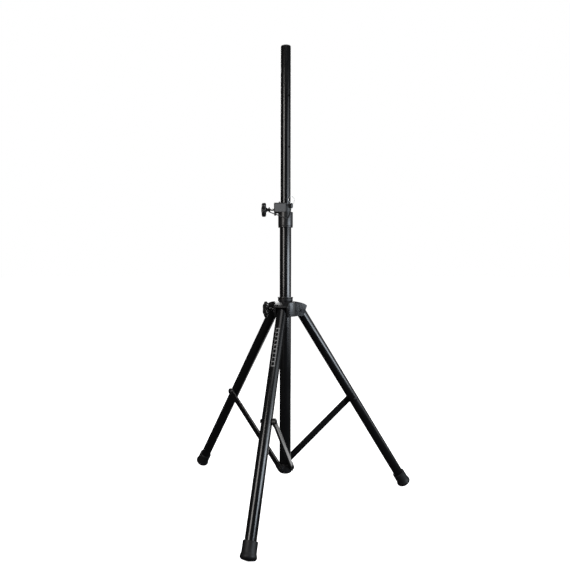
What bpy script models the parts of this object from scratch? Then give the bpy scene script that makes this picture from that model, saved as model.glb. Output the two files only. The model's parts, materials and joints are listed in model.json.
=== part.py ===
"""Tripod stand for a PA speaker: a telescoping steel pole on three folding legs.

The origin is the middle of the stand's box, on the floor. +Z is up and the front leg points
along -Y. Azimuths are in degrees from +X, counter-clockwise seen from above.

Frames, each an empty:
  stand        on the column's axis, at the floor
  hub          the same, for all that slides on the column with the hub
  mast         the same, for all that slides in the column
  spoke_*      one per leg, +X outward along the leg, +Y to the leg's left, +Z up
  leg_*        at a leg's pivot bolt, -Z down the leg
  strut_*      at a strut's lower bolt, +Z up the strut
  collar       +X along the collar knob's screw, outward
  pin          +X along the safety pin, outward
  hub_screw    +X along the hub knob's screw, outward
"""

import math

import bmesh
import bpy

# Column, on whose axis everything else is set out. The axis stands behind the box's middle,
# because one leg points forward and two point back.
AXIS_Y = 0.1144
MAIN_TUBE_RADIUS = 0.0200
MAIN_TUBE_WALL = 0.0015
MAIN_TUBE_BOTTOM = 0.0958
MAIN_TUBE_TOP = 0.9925
TUBE_PLUG_LENGTH = 0.018
TUBE_PLUG_FLANGE = 0.004

# Mast, the standard 35 mm pole that a speaker's socket fits.
MAST_RADIUS = 0.0175
MAST_WALL = 0.0015
MAST_BOTTOM = 0.630
MAST_TOP = 1.5762
POLE_TOP = 1.5800
GUIDE_BUSH_LENGTH = 0.018
GUIDE_BUSH_RADIUS = 0.0182
PIN_HOLE_RADIUS = 0.0035
PIN_HOLE_HEIGHTS = [1.407 - 0.176 * step for step in range(5)]

# Collar at the top of the main tube.
COLLAR_BOTTOM = 0.953
COLLAR_SLEEVE_TOP = 1.0064
COLLAR_RADIUS = 0.0255
COLLAR_BLOCK_BOTTOM = 1.0035
COLLAR_BLOCK_TOP = 1.038
COLLAR_BLOCK_REACH = 0.040
COLLAR_BLOCK_BACK = -0.004
COLLAR_BLOCK_HALF_WIDTH = 0.0235
COLLAR_BUSH_TOP = 1.027
COLLAR_BUSH_RADIUS = 0.0193
COLLAR_SCREW_HEIGHT = 1.015
COLLAR_KNOB_AZIMUTH = -167.3
COLLAR_KNOB_RADIUS = 0.0245
COLLAR_KNOB_INNER = 0.0672
COLLAR_KNOB_THICKNESS = 0.0175
COLLAR_STEM_END = 0.0535
COLLAR_SPLIT_DEPTH = 0.0125
COLLAR_NUB = ((0.0185, -0.0060, 1.0360), (0.0235, 0.0060, 1.0430))
COLLAR_LUG = ((0.0330, -0.0090, 0.9950), (0.0395, 0.0090, 1.0050))

# Safety pin, in line with the mast's holes.
PIN_AZIMUTH = -35.3
PIN_HEIGHT = 1.027
PIN_RADIUS = 0.0028
PIN_TIP = 0.0181
PIN_BOSS_RADIUS = 0.0060
PIN_BOSS_END = 0.0248
PIN_HEAD_INNER = 0.0260
PIN_HEAD_OUTER = 0.0340
PIN_HEAD_HALF_HEIGHT = 0.0090
PIN_HEAD_HALF_WIDTH = 0.0040
PIN_RING_RADIUS = 0.0135
PIN_RING_WIRE = 0.0009
PIN_RING_HOLE = 0.0019
PIN_RING_HEIGHT = 1.0325

# Hub, which slides on the main tube.
HUB_BOTTOM = 0.644
HUB_TOP = 0.6975
HUB_DRUM_RADIUS = 0.0410
HUB_ARM_HALF_WIDTH = 0.0235
HUB_SLOT_HALF_WIDTH = 0.0180
HUB_ARM_REACH = 0.0725
HUB_ARM_FOOT = 0.0585
HUB_FLANGE_TOP = 0.7110
HUB_FLANGE_BOTTOM = 0.6978
HUB_FLANGE_RADIUS = 0.0270
HUB_BUSH_RADIUS = 0.0222
HUB_SCREW_AZIMUTH = -150.0
HUB_SCREW_HEIGHT = 0.668
HUB_BOSS_RADIUS = 0.0095
HUB_BOSS_END = 0.0440
HUB_KNOB_RADIUS = 0.0285
HUB_KNOB_INNER = 0.0645
HUB_KNOB_THICKNESS = 0.0140
HUB_STEM_END = 0.0480

# Legs and struts. A leg and its strut, the hub and the column make a four-bar with a slide.
LEG_AZIMUTHS = {"front": -90.0, "right": 30.0, "left": 150.0}
LEG_TILT = math.radians(32.2)
LEG_PIVOT_REACH = 0.054
LEG_PIVOT_HEIGHT = 0.663
LEG_RADIUS = 0.0175
LEG_WALL = 0.0012
LEG_TOP_END = 0.0100
LEG_PLUG_LENGTH = 0.034
STRUT_JOINT_ON_LEG = 0.382
STRUT_LOWER_HEIGHT = 0.111
STRUT_OFFSET = 0.0245
STRUT_WIDTH = 0.024
STRUT_THICKNESS = 0.008
STRUT_WALL = 0.0012
STRUT_LOWER_NECK = 0.018
STRUT_UPPER_NECK = 0.012
STRUT_TONGUE_LENGTH = 0.016
STRUT_LOWER_EYE_FACE = 0.0235

# Rubber foot.
FOOT_SLEEVE_LENGTH = 0.034
FOOT_SLEEVE_RADIUS = 0.0220
FOOT_BULGE_RADIUS = 0.02475
FOOT_CORNER_RADIUS = 0.0095
FOOT_DOME_RISE = 0.0030
FOOT_FLAT_DEPTH = 0.0008

# Bottom bracket.
BRACKET_BOTTOM = 0.0945
BRACKET_TOP = 0.1240
BRACKET_RADIUS = 0.0232
BRACKET_PAD_RADIUS = 0.0115

# Fasteners.
BOLT_RADIUS = 0.0030
BOLT_HOLE_RADIUS = 0.0034
BOLT_HEAD_RADIUS = 0.0065
BOLT_HEAD_HEIGHT = 0.0040
NUT_RADIUS = 0.0062
NUT_HEIGHT = 0.0050
SCREW_RADIUS = 0.0040
SCREW_HOLE_RADIUS = 0.0044
SHOE_RADIUS = 0.0070
SHOE_THICKNESS = 0.0030
KNOB_STEM_RADIUS = 0.0056
KNOB_FLARE = 0.0030
KNOB_LOBES = 6

# Lanyard, a limp cord from a loop on the knob's stem to the pin's head, in the collar's frame.
LANYARD_RADIUS = 0.0018
LANYARD_LOOP_RADIUS = 0.0078
LANYARD_LOOP_REACH = 0.0570
LANYARD_ROUTE = [
    (0.0556, 0.00665, 1.0082),
    (0.0535, 0.0084, 1.0063),
    (0.0500, 0.0100, 1.0043),
    (0.0440, 0.0118, 1.0020),
    (0.0380, 0.0142, 0.9997),
    (0.0300, 0.0173, 0.9967),
    (0.0210, 0.0212, 0.9928),
    (0.0120, 0.0250, 0.9889),
    (0.0030, 0.0275, 0.9853),
    (-0.0040, 0.0274, 0.9831),
    (-0.0090, 0.0262, 0.9850),
    (-0.0126, 0.0247, 0.9908),
    (-0.0152, 0.0231, 0.9990),
    (-0.0172, 0.0216, 1.0085),
    (-0.01845, 0.0205, 1.0172),
]

GAP = 0.0003
ROUND = 24
SMALL_ROUND = 12
MERGE = 0.00001

parts = None
cutters = None


# ---------------------------------------------------------------- scene and materials


def clear_scene():
    for thing in list(bpy.data.objects):
        bpy.data.objects.remove(thing)


def new_collection(name):
    collection = bpy.data.collections.new(name)
    bpy.context.scene.collection.children.link(collection)
    return collection


def material(name, color, roughness, metallic=0.0):
    made = bpy.data.materials.get(name)
    if made is None:
        made = bpy.data.materials.new(name)
        made.use_nodes = True
        shader = made.node_tree.nodes["Principled BSDF"]
        shader.inputs["Base Color"].default_value = (*color, 1.0)
        shader.inputs["Roughness"].default_value = roughness
        shader.inputs["Metallic"].default_value = metallic
    return made


def powder_coat():
    return material("powder_coat", (0.010, 0.010, 0.011), 0.32)


def moulded_nylon():
    return material("moulded_nylon", (0.030, 0.030, 0.031), 0.62)


def black_rubber():
    return material("black_rubber", (0.014, 0.014, 0.014), 0.85)


def bright_steel():
    return material("bright_steel", (0.62, 0.62, 0.61), 0.28, 1.0)


def black_steel():
    return material("black_steel", (0.018, 0.018, 0.019), 0.42, 0.6)


def braided_cord():
    return material("braided_cord", (0.012, 0.012, 0.013), 0.80)


# ---------------------------------------------------------------- building blocks


def frame(name, parent=None, location=(0.0, 0.0, 0.0), azimuth=0.0, tilt=0.0):
    """An empty, turned to an azimuth in degrees and then tilted about its own Y in radians."""
    empty = bpy.data.objects.new(name, None)
    parts.objects.link(empty)
    empty.parent = parent
    empty.location = location
    empty.rotation_euler = (0.0, tilt, math.radians(azimuth))
    return empty


def put(name, mesh, finish, parent, location=(0.0, 0.0, 0.0), rotation=(0.0, 0.0, 0.0)):
    """A named part from a mesh, in its material and under its frame."""
    part = bpy.data.objects.new(name, mesh)
    parts.objects.link(part)
    mesh.name = name
    mesh.materials.clear()
    mesh.materials.append(finish)
    mesh.shade_smooth()
    mesh.set_sharp_from_angle(angle=math.radians(35))
    part.parent = parent
    part.location = location
    part.rotation_euler = rotation
    return part


def cutter(name, mesh, parent, location=(0.0, 0.0, 0.0), rotation=(0.0, 0.0, 0.0)):
    """A wire-drawn shape that only cuts or joins others."""
    shape = bpy.data.objects.new(name, mesh)
    cutters.objects.link(shape)
    shape.parent = parent
    shape.location = location
    shape.rotation_euler = rotation
    shape.display_type = "WIRE"
    shape.hide_render = True
    return shape


def boolean(part, other, operation):
    change = part.modifiers.new(operation.lower() + "_" + other.name, "BOOLEAN")
    change.operation = operation
    change.object = other
    change.solver = "EXACT"


def cut(part, *shapes):
    for shape in shapes:
        boolean(part, shape, "DIFFERENCE")


def join(part, *shapes):
    for shape in shapes:
        boolean(part, shape, "UNION")


def mesh_of(shape, name):
    mesh = bpy.data.meshes.new(name)
    shape.to_mesh(mesh)
    shape.free()
    return mesh


def cylinder(radius, length, segments=ROUND):
    """Round the Z axis, from z = 0 up to z = length."""
    shape = bmesh.new()
    bmesh.ops.create_cone(
        shape, cap_ends=True, segments=segments, radius1=radius, radius2=radius, depth=length
    )
    bmesh.ops.translate(shape, verts=shape.verts, vec=(0.0, 0.0, length / 2))
    return mesh_of(shape, "cylinder")


def box(low, high):
    shape = bmesh.new()
    bmesh.ops.create_cube(shape, size=1.0)
    size = [b - a for a, b in zip(low, high)]
    middle = [(a + b) / 2 for a, b in zip(low, high)]
    bmesh.ops.scale(shape, verts=shape.verts, vec=size)
    bmesh.ops.translate(shape, verts=shape.verts, vec=middle)
    return mesh_of(shape, "box")


def turned(profile, segments=ROUND, closed=False):
    """A mesh turned round Z from (radius, height) points that run down the outer side."""
    shape = bmesh.new()
    points = [shape.verts.new((radius, 0.0, height)) for radius, height in profile]
    for first, second in zip(points, points[1:]):
        shape.edges.new((first, second))
    if closed:
        shape.edges.new((points[-1], points[0]))
    guide = cutter("turning_guide", mesh_of(shape, "profile"), None)
    screw = guide.modifiers.new("turn", "SCREW")
    screw.steps = segments
    screw.render_steps = segments
    screw.use_merge_vertices = True
    screw.merge_threshold = MERGE
    return applied(guide)


def ring(inner, outer, low, high, segments=ROUND):
    profile = [(outer, high), (outer, low), (inner, low), (inner, high)]
    return turned(profile, segments, closed=True)


def applied(guide):
    """The evaluated mesh of a modifier stack or a curve, welded, with its guide removed."""
    bpy.context.view_layer.update()
    graph = bpy.context.evaluated_depsgraph_get()
    mesh = bpy.data.meshes.new_from_object(guide.evaluated_get(graph))
    bpy.data.objects.remove(guide)
    shape = bmesh.new()
    shape.from_mesh(mesh)
    bmesh.ops.remove_doubles(shape, verts=shape.verts, dist=MERGE)
    shape.to_mesh(mesh)
    shape.free()
    return mesh


def flat_curve(outlines, thickness):
    """A filled 2D curve in XY, from z = -thickness / 2 to z = thickness / 2."""
    curve = bpy.data.curves.new("outline", "CURVE")
    curve.dimensions = "2D"
    curve.fill_mode = "BOTH"
    curve.extrude = thickness / 2
    for outline in outlines:
        spline = curve.splines.new("POLY")
        spline.points.add(len(outline) - 1)
        for point, (x, y) in zip(spline.points, outline):
            point.co = (x, y, 0.0, 1.0)
        spline.use_cyclic_u = True
    guide = bpy.data.objects.new("outline", curve)
    cutters.objects.link(guide)
    return guide


def prism(outlines, thickness):
    return applied(flat_curve(outlines, thickness))


def arc(middle, radius, start, end, steps):
    """Points on an arc, angles in degrees, both ends included."""
    turns = [math.radians(start + (end - start) * step / steps) for step in range(steps + 1)]
    return [(middle[0] + radius * math.cos(a), middle[1] + radius * math.sin(a)) for a in turns]


def stadium(width, height, steps=6):
    """A flat oval, its long side along X."""
    radius = height / 2
    straight = width / 2 - radius
    return arc((straight, 0.0), radius, -90, 90, steps) + arc((-straight, 0.0), radius, 90, 270, steps)


ALONG_X = (0.0, math.pi / 2, 0.0)
ALONG_Y = (-math.pi / 2, 0.0, 0.0)
FACING_LEG_SIDE = (math.pi / 2, 0.0, 0.0)


def bolt(shank_length, head_radius=BOLT_HEAD_RADIUS, head_height=BOLT_HEAD_HEIGHT):
    """A round-headed bolt on Z: its shank below z = 0 and its head above."""
    rim = head_height * 0.45
    profile = [
        (0.0, head_height),
        (head_radius * 0.62, head_height * 0.92),
        (head_radius, rim),
        (head_radius, 0.0),
        (BOLT_RADIUS, 0.0),
        (BOLT_RADIUS, -shank_length),
        (0.0, -shank_length),
    ]
    return turned(profile, SMALL_ROUND)


# ---------------------------------------------------------------- column


def make_column(stand):
    inner = MAIN_TUBE_RADIUS - MAIN_TUBE_WALL
    tube = ring(inner, MAIN_TUBE_RADIUS, MAIN_TUBE_BOTTOM, MAIN_TUBE_TOP)
    put("main_tube", tube, powder_coat(), stand)
    flange_top = MAIN_TUBE_BOTTOM - GAP
    plug = turned(
        [
            (0.0, flange_top + TUBE_PLUG_LENGTH),
            (inner - GAP, flange_top + TUBE_PLUG_LENGTH),
            (inner - GAP, flange_top),
            (MAIN_TUBE_RADIUS - GAP, flange_top),
            (MAIN_TUBE_RADIUS - GAP, flange_top - TUBE_PLUG_FLANGE),
            (0.0, flange_top - TUBE_PLUG_FLANGE),
        ]
    )
    put("tube_foot_plug", plug, moulded_nylon(), stand)


def make_bottom_bracket(stand, spokes):
    """A collar round the main tube's end, with a flat pad for each strut's lower bolt."""
    body = cylinder(BRACKET_RADIUS, BRACKET_TOP - BRACKET_BOTTOM)
    bracket = put("bottom_bracket", body, black_steel(), stand, (0.0, 0.0, BRACKET_BOTTOM))
    at_bolt = (0.0, 0.0, STRUT_LOWER_HEIGHT)
    for name, spoke in spokes.items():
        pad = cylinder(BRACKET_PAD_RADIUS, STRUT_LOWER_EYE_FACE - GAP, 24)
        join(bracket, cutter("bracket_pad_" + name, pad, spoke, at_bolt, ALONG_Y))
    bore = cylinder(MAIN_TUBE_RADIUS + GAP, 1.0)
    cut(bracket, cutter("bracket_bore", bore, stand))
    for name, spoke in spokes.items():
        hole = cylinder(BOLT_HOLE_RADIUS, 0.05, SMALL_ROUND)
        cut(bracket, cutter("bracket_hole_" + name, hole, spoke, at_bolt, ALONG_Y))


# ---------------------------------------------------------------- mast


def make_mast(mast, pin_frame):
    inner = MAST_RADIUS - MAST_WALL
    tube = put("upper_tube", ring(inner, MAST_RADIUS, MAST_BOTTOM, MAST_TOP), powder_coat(), mast)
    for height in PIN_HOLE_HEIGHTS:
        drill = cylinder(PIN_HOLE_RADIUS, 0.06, SMALL_ROUND)
        name = "mast_hole_%d" % round(height * 1000)
        cut(tube, cutter(name, drill, pin_frame, (-0.03, 0.0, height), ALONG_X))
    cap = turned(
        [
            (0.0, POLE_TOP),
            (MAST_RADIUS - 0.0018, POLE_TOP),
            (MAST_RADIUS - 0.0004, POLE_TOP - 0.0014),
            (MAST_RADIUS - 0.0004, MAST_TOP + GAP),
            (inner - GAP, MAST_TOP + GAP),
            (inner - GAP, MAST_TOP - 0.018),
            (0.0, MAST_TOP - 0.018),
        ]
    )
    put("pole_end_cap", cap, moulded_nylon(), mast)
    shoulder = MAST_BOTTOM - GAP
    bush = turned(
        [
            (inner - GAP, shoulder + 0.020),
            (inner - GAP, shoulder),
            (GUIDE_BUSH_RADIUS, shoulder),
            (GUIDE_BUSH_RADIUS, shoulder - GUIDE_BUSH_LENGTH),
            (0.0100, shoulder - GUIDE_BUSH_LENGTH),
            (0.0100, shoulder + 0.020),
        ],
        closed=True,
    )
    put("mast_guide_bush", bush, moulded_nylon(), mast)


# ---------------------------------------------------------------- knobs


def star_outline(radius, lobes):
    """A circle whose radius swells at each lobe."""
    points = []
    steps = lobes * 6
    for step in range(steps):
        turn = 2 * math.pi * step / steps
        reach = radius * (0.90 + 0.10 * math.cos(lobes * turn))
        points.append((reach * math.cos(turn), reach * math.sin(turn)))
    return points


def make_knob(name, around, height, radius, inner, thickness, stem_end):
    """A lobed clamping knob on +X, with a stem towards the stand and a blind bore for its screw."""
    middle = inner + thickness / 2
    facing = (math.pi / 2, 0.0, math.pi / 2)
    knob = put(
        name,
        prism([star_outline(radius, KNOB_LOBES)], thickness),
        moulded_nylon(),
        around,
        (middle, 0.0, height),
        facing,
    )
    soften = knob.modifiers.new("soften", "BEVEL")
    soften.width = 0.003
    soften.segments = 1
    soften.limit_method = "ANGLE"
    soften.angle_limit = math.radians(50)
    face = inner - stem_end
    stem = turned(
        [
            (0.0, middle - stem_end),
            (KNOB_STEM_RADIUS + KNOB_FLARE, middle - stem_end),
            (KNOB_STEM_RADIUS + KNOB_FLARE, face),
            (KNOB_STEM_RADIUS, face - 0.0030),
            (KNOB_STEM_RADIUS, 0.0),
            (0.0, 0.0),
        ],
        24,
    )
    join(knob, cutter(name + "_stem", stem, around, (stem_end, 0.0, height), ALONG_X))
    bore = cylinder(SCREW_HOLE_RADIUS, 0.012, SMALL_ROUND)
    cut(knob, cutter(name + "_bore", bore, around, (stem_end - 0.001, 0.0, height), ALONG_X))


def make_screw(name, around, height, tip, stem_end):
    length = stem_end + 0.010 - tip
    thread = cylinder(SCREW_RADIUS, length, SMALL_ROUND)
    put(name, thread, bright_steel(), around, (tip, 0.0, height), ALONG_X)


def make_shoe(name, around, height, tube_radius):
    """The pad that a clamping screw pushes against its tube."""
    shoe = cylinder(SHOE_RADIUS, SHOE_THICKNESS, 20)
    inner = tube_radius + 2 * GAP
    put(name, shoe, moulded_nylon(), around, (inner, 0.0, height), ALONG_X)
    return inner + SHOE_THICKNESS


# ---------------------------------------------------------------- collar and safety pin


def make_collar(collar, pin_frame):
    """The sleeve on the main tube, the clamp block on one side and the boss for the pin."""
    sleeve = turned(
        [
            (0.0, COLLAR_SLEEVE_TOP),
            (COLLAR_RADIUS - 0.0012, COLLAR_SLEEVE_TOP),
            (COLLAR_RADIUS, COLLAR_SLEEVE_TOP - 0.0012),
            (COLLAR_RADIUS, COLLAR_BOTTOM + 0.0012),
            (COLLAR_RADIUS - 0.0012, COLLAR_BOTTOM),
            (0.0, COLLAR_BOTTOM),
        ]
    )
    body = put("clamp_collar", sleeve, moulded_nylon(), collar)
    block_mesh = box(
        (COLLAR_BLOCK_BACK, -COLLAR_BLOCK_HALF_WIDTH, COLLAR_BLOCK_BOTTOM),
        (COLLAR_BLOCK_REACH, COLLAR_BLOCK_HALF_WIDTH, COLLAR_BLOCK_TOP),
    )
    block = cutter("collar_block", block_mesh, collar)
    soften = block.modifiers.new("soften", "BEVEL")
    soften.width = 0.0015
    soften.segments = 1
    join(body, block)
    join(body, cutter("collar_nub", box(*COLLAR_NUB), collar))
    join(body, cutter("collar_lug", box(*COLLAR_LUG), collar))
    wall = cylinder(COLLAR_BUSH_RADIUS + 0.0032, COLLAR_BUSH_TOP - 1.000)
    upper_wall = cutter("collar_upper_wall", wall, collar, (0.0, 0.0, 1.000))
    open_low = (-0.05, -0.05, COLLAR_SLEEVE_TOP)
    open_side = cutter("collar_open_side", box(open_low, (0.0, COLLAR_SPLIT_DEPTH, 1.05)), collar)
    cut(upper_wall, open_side)
    join(body, upper_wall)
    boss = cylinder(PIN_BOSS_RADIUS, PIN_BOSS_END, 20)
    join(body, cutter("pin_boss", boss, pin_frame, (0.0, 0.0, PIN_HEIGHT), ALONG_X))
    bore = turned(
        [
            (0.0, 1.10),
            (MAST_RADIUS + 0.0005, 1.10),
            (MAST_RADIUS + 0.0005, COLLAR_BUSH_TOP + GAP),
            (COLLAR_BUSH_RADIUS + GAP, COLLAR_BUSH_TOP + GAP),
            (COLLAR_BUSH_RADIUS + GAP, MAIN_TUBE_TOP + GAP),
            (MAIN_TUBE_RADIUS + GAP, MAIN_TUBE_TOP + GAP),
            (MAIN_TUBE_RADIUS + GAP, 0.90),
            (0.0, 0.90),
        ]
    )
    screw_hole = cylinder(SCREW_HOLE_RADIUS, 0.05, SMALL_ROUND)
    pocket = cylinder(SHOE_RADIUS + GAP, MAST_RADIUS + SHOE_THICKNESS + 3 * GAP, 20)
    pin_hole = cylinder(PIN_RADIUS + GAP, 0.05, SMALL_ROUND)
    axis_at_screw = (0.0, 0.0, COLLAR_SCREW_HEIGHT)
    cut(
        body,
        cutter("collar_bore", bore, collar),
        cutter("collar_screw_hole", screw_hole, collar, axis_at_screw, ALONG_X),
        cutter("collar_shoe_pocket", pocket, collar, axis_at_screw, ALONG_X),
        cutter("collar_pin_hole", pin_hole, pin_frame, (0.0, 0.0, PIN_HEIGHT), ALONG_X),
    )


def make_collar_bush(collar, pin_frame):
    """The liner that the mast runs in, with windows for the clamp shoe and the pin."""
    liner = ring(MAST_RADIUS + GAP, COLLAR_BUSH_RADIUS, MAIN_TUBE_TOP + 2 * GAP, COLLAR_BUSH_TOP)
    bush = put("collar_bush", liner, moulded_nylon(), collar)
    window = cylinder(SHOE_RADIUS + GAP, 0.04, 20)
    place = (0.0, 0.0, COLLAR_SCREW_HEIGHT)
    cut(bush, cutter("bush_shoe_window", window, collar, place, ALONG_X))
    notch = box((0.0, -PIN_RADIUS - GAP, PIN_HEIGHT - PIN_RADIUS - GAP), (0.04, PIN_RADIUS + GAP, 1.1))
    cut(bush, cutter("bush_pin_notch", notch, pin_frame))


def make_pin(pin_frame):
    """A steel pin in an oval pull, and the split ring that stands on it."""
    length = PIN_HEAD_INNER + 0.005 - PIN_TIP
    rod = cylinder(PIN_RADIUS, length, SMALL_ROUND)
    put("safety_pin", rod, bright_steel(), pin_frame, (PIN_TIP, 0.0, PIN_HEIGHT), ALONG_X)
    outline = stadium(2 * PIN_HEAD_HALF_HEIGHT, 2 * PIN_HEAD_HALF_WIDTH)
    depth = PIN_HEAD_OUTER - PIN_HEAD_INNER
    middle = (PIN_HEAD_INNER + PIN_HEAD_OUTER) / 2
    head = put(
        "pin_head",
        prism([outline], depth),
        moulded_nylon(),
        pin_frame,
        (middle, 0.0, PIN_HEIGHT),
        (0.0, math.pi / 2, 0.0),
    )
    socket = cylinder(PIN_RADIUS + GAP, 0.0065, SMALL_ROUND)
    socket_start = (PIN_HEAD_INNER - 0.001, 0.0, PIN_HEIGHT)
    eye = cylinder(PIN_RING_HOLE, 0.02, 12)
    eye_start = (middle, -0.01, PIN_RING_HEIGHT)
    cut(
        head,
        cutter("pin_head_socket", socket, pin_frame, socket_start, ALONG_X),
        cutter("pin_head_eye", eye, pin_frame, eye_start, ALONG_Y),
    )
    ring_mesh = torus(PIN_RING_RADIUS, PIN_RING_WIRE, 20, 6)
    place = (middle, 0.0, PIN_RING_HEIGHT + PIN_RING_RADIUS)
    put("pin_ring", ring_mesh, bright_steel(), pin_frame, place, ALONG_X)


def torus(major, minor, around, across):
    """A ring round Z, from a circle that runs down its outer side."""
    circle = arc((major, 0.0), minor, 90, -270, across)[:-1]
    return turned(circle, around, closed=True)


# ---------------------------------------------------------------- lanyard


def smooth_route(points, spacing):
    """Points at about equal spacing along a Catmull-Rom curve through the route's own points."""
    ends = [points[0]] + points + [points[-1]]
    fine = []
    for a, b, c, d in zip(ends, ends[1:], ends[2:], ends[3:]):
        for step in range(12):
            t = step / 12
            fine.append(
                tuple(
                    0.5
                    * (
                        2 * q
                        + (r - p) * t
                        + (2 * p - 5 * q + 4 * r - s) * t * t
                        + (3 * q - p - 3 * r + s) * t * t * t
                    )
                    for p, q, r, s in zip(a, b, c, d)
                )
            )
    fine.append(points[-1])
    kept = [fine[0]]
    for point in fine[1:-1]:
        if math.dist(point, kept[-1]) >= spacing and math.dist(point, fine[-1]) > spacing / 2:
            kept.append(point)
    kept.append(fine[-1])
    return kept


def make_lanyard(collar):
    curve = bpy.data.curves.new("lanyard", "CURVE")
    curve.dimensions = "3D"
    curve.bevel_depth = LANYARD_RADIUS
    curve.bevel_resolution = 2
    curve.use_fill_caps = True
    route = smooth_route(LANYARD_ROUTE, 5 * LANYARD_RADIUS)
    spline = curve.splines.new("POLY")
    spline.points.add(len(route) - 1)
    for point, place in zip(spline.points, route):
        point.co = (*place, 1.0)
    curve.materials.append(braided_cord())
    cord = bpy.data.objects.new("lanyard", curve)
    parts.objects.link(cord)
    cord.parent = collar
    loop = torus(LANYARD_LOOP_RADIUS, LANYARD_RADIUS, 16, 6)
    place = (LANYARD_LOOP_REACH, 0.0, COLLAR_SCREW_HEIGHT)
    put("lanyard_loop", loop, braided_cord(), collar, place, ALONG_X)


# ---------------------------------------------------------------- hub


def arm_outline():
    """A hub arm from the side: radius outward, height up."""
    return [
        (0.0300, HUB_BOTTOM),
        (HUB_ARM_FOOT - 0.0015, HUB_BOTTOM),
        (HUB_ARM_FOOT, HUB_BOTTOM + 0.0015),
        (HUB_ARM_REACH, HUB_BOTTOM + 0.0355),
        (HUB_ARM_REACH - 0.0015, HUB_BOTTOM + 0.0385),
        (0.0640, HUB_BOTTOM + 0.0425),
        (0.0530, HUB_BOTTOM + 0.0468),
        (0.0420, HUB_BOTTOM + 0.0495),
        (0.0300, HUB_BOTTOM + 0.0510),
    ]


def slot_outline():
    """The space a leg's top swings in, open below and outward."""
    return [
        (0.0305, HUB_BOTTOM - 0.01),
        (0.0900, HUB_BOTTOM - 0.01),
        (0.0900, HUB_BOTTOM + 0.0180),
        (0.0760, HUB_BOTTOM + 0.0290),
        (0.0660, HUB_BOTTOM + 0.0375),
        (0.0560, HUB_BOTTOM + 0.0408),
        (0.0305, HUB_BOTTOM + 0.0410),
    ]


def make_hub(hub, hub_screw, spokes):
    drum = turned(
        [
            (0.0, HUB_TOP),
            (HUB_FLANGE_RADIUS, HUB_TOP),
            (HUB_DRUM_RADIUS - 0.0010, HUB_BOTTOM + 0.0492),
            (HUB_DRUM_RADIUS, HUB_BOTTOM + 0.0480),
            (HUB_DRUM_RADIUS, HUB_BOTTOM + 0.0010),
            (HUB_DRUM_RADIUS - 0.0010, HUB_BOTTOM),
            (0.0, HUB_BOTTOM),
        ],
        36,
    )
    body = put("hub_body", drum, moulded_nylon(), hub)
    for name, spoke in spokes.items():
        arm = prism([arm_outline()], 2 * HUB_ARM_HALF_WIDTH)
        join(body, cutter("hub_arm_" + name, arm, spoke, rotation=FACING_LEG_SIDE))
    boss = cylinder(HUB_BOSS_RADIUS, HUB_BOSS_END, 24)
    screw_axis = (0.0, 0.0, HUB_SCREW_HEIGHT)
    join(body, cutter("hub_boss", boss, hub_screw, screw_axis, ALONG_X))
    for name, spoke in spokes.items():
        slot = prism([slot_outline()], 2 * HUB_SLOT_HALF_WIDTH)
        hole = cylinder(BOLT_HOLE_RADIUS, 0.08, SMALL_ROUND)
        at_pivot = (LEG_PIVOT_REACH, -0.04, LEG_PIVOT_HEIGHT)
        cut(
            body,
            cutter("hub_slot_" + name, slot, spoke, rotation=FACING_LEG_SIDE),
            cutter("hub_pivot_hole_" + name, hole, spoke, at_pivot, ALONG_Y),
        )
    bore = cylinder(HUB_BUSH_RADIUS + GAP, 0.2)
    screw_hole = cylinder(SCREW_HOLE_RADIUS, 0.06, SMALL_ROUND)
    pocket = cylinder(SHOE_RADIUS + GAP, MAIN_TUBE_RADIUS + SHOE_THICKNESS + 3 * GAP, 20)
    cut(
        body,
        cutter("hub_bore", bore, hub, (0.0, 0.0, 0.6)),
        cutter("hub_shoe_pocket", pocket, hub_screw, screw_axis, ALONG_X),
        cutter("hub_screw_hole", screw_hole, hub_screw, screw_axis, ALONG_X),
    )


def make_hub_bush(hub, hub_screw):
    """The flanged liner that slides on the main tube, with a window for the clamp shoe."""
    inner = MAIN_TUBE_RADIUS + GAP
    liner = turned(
        [
            (HUB_FLANGE_RADIUS - 0.0012, HUB_FLANGE_TOP),
            (HUB_FLANGE_RADIUS, HUB_FLANGE_TOP - 0.0012),
            (HUB_FLANGE_RADIUS, HUB_FLANGE_BOTTOM + 0.0010),
            (HUB_FLANGE_RADIUS - 0.0010, HUB_FLANGE_BOTTOM),
            (HUB_BUSH_RADIUS, HUB_FLANGE_BOTTOM),
            (HUB_BUSH_RADIUS, HUB_BOTTOM),
            (inner, HUB_BOTTOM),
            (inner, HUB_FLANGE_TOP),
        ],
        closed=True,
    )
    bush = put("hub_bush", liner, moulded_nylon(), hub)
    window = cylinder(SHOE_RADIUS + GAP, 0.04, 20)
    place = (0.0, 0.0, HUB_SCREW_HEIGHT)
    cut(bush, cutter("hub_bush_window", window, hub_screw, place, ALONG_X))


# ---------------------------------------------------------------- legs


def foot_profile():
    """(radius, distance towards the tip) down the outer side of a rubber foot."""
    corner_middle = (FOOT_BULGE_RADIUS - FOOT_CORNER_RADIUS, FOOT_SLEEVE_LENGTH + 0.0065)
    profile = [
        (FOOT_SLEEVE_RADIUS - 0.0005, 0.0),
        (FOOT_SLEEVE_RADIUS, 0.0010),
        (FOOT_SLEEVE_RADIUS, FOOT_SLEEVE_LENGTH - 0.002),
        (FOOT_BULGE_RADIUS - 0.0008, FOOT_SLEEVE_LENGTH + 0.0025),
    ]
    profile += arc(corner_middle, FOOT_CORNER_RADIUS, 0, 76, 5)
    profile.append((0.0, profile[-1][1] + FOOT_DOME_RISE))
    return profile


def foot_distance():
    """How far down the leg a foot's mouth is, so that its end meets the floor in a small flat."""
    reach = max(
        along * math.cos(LEG_TILT) + radius * math.sin(LEG_TILT) for radius, along in foot_profile()
    )
    return (LEG_PIVOT_HEIGHT + FOOT_FLAT_DEPTH - reach) / math.cos(LEG_TILT)


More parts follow.
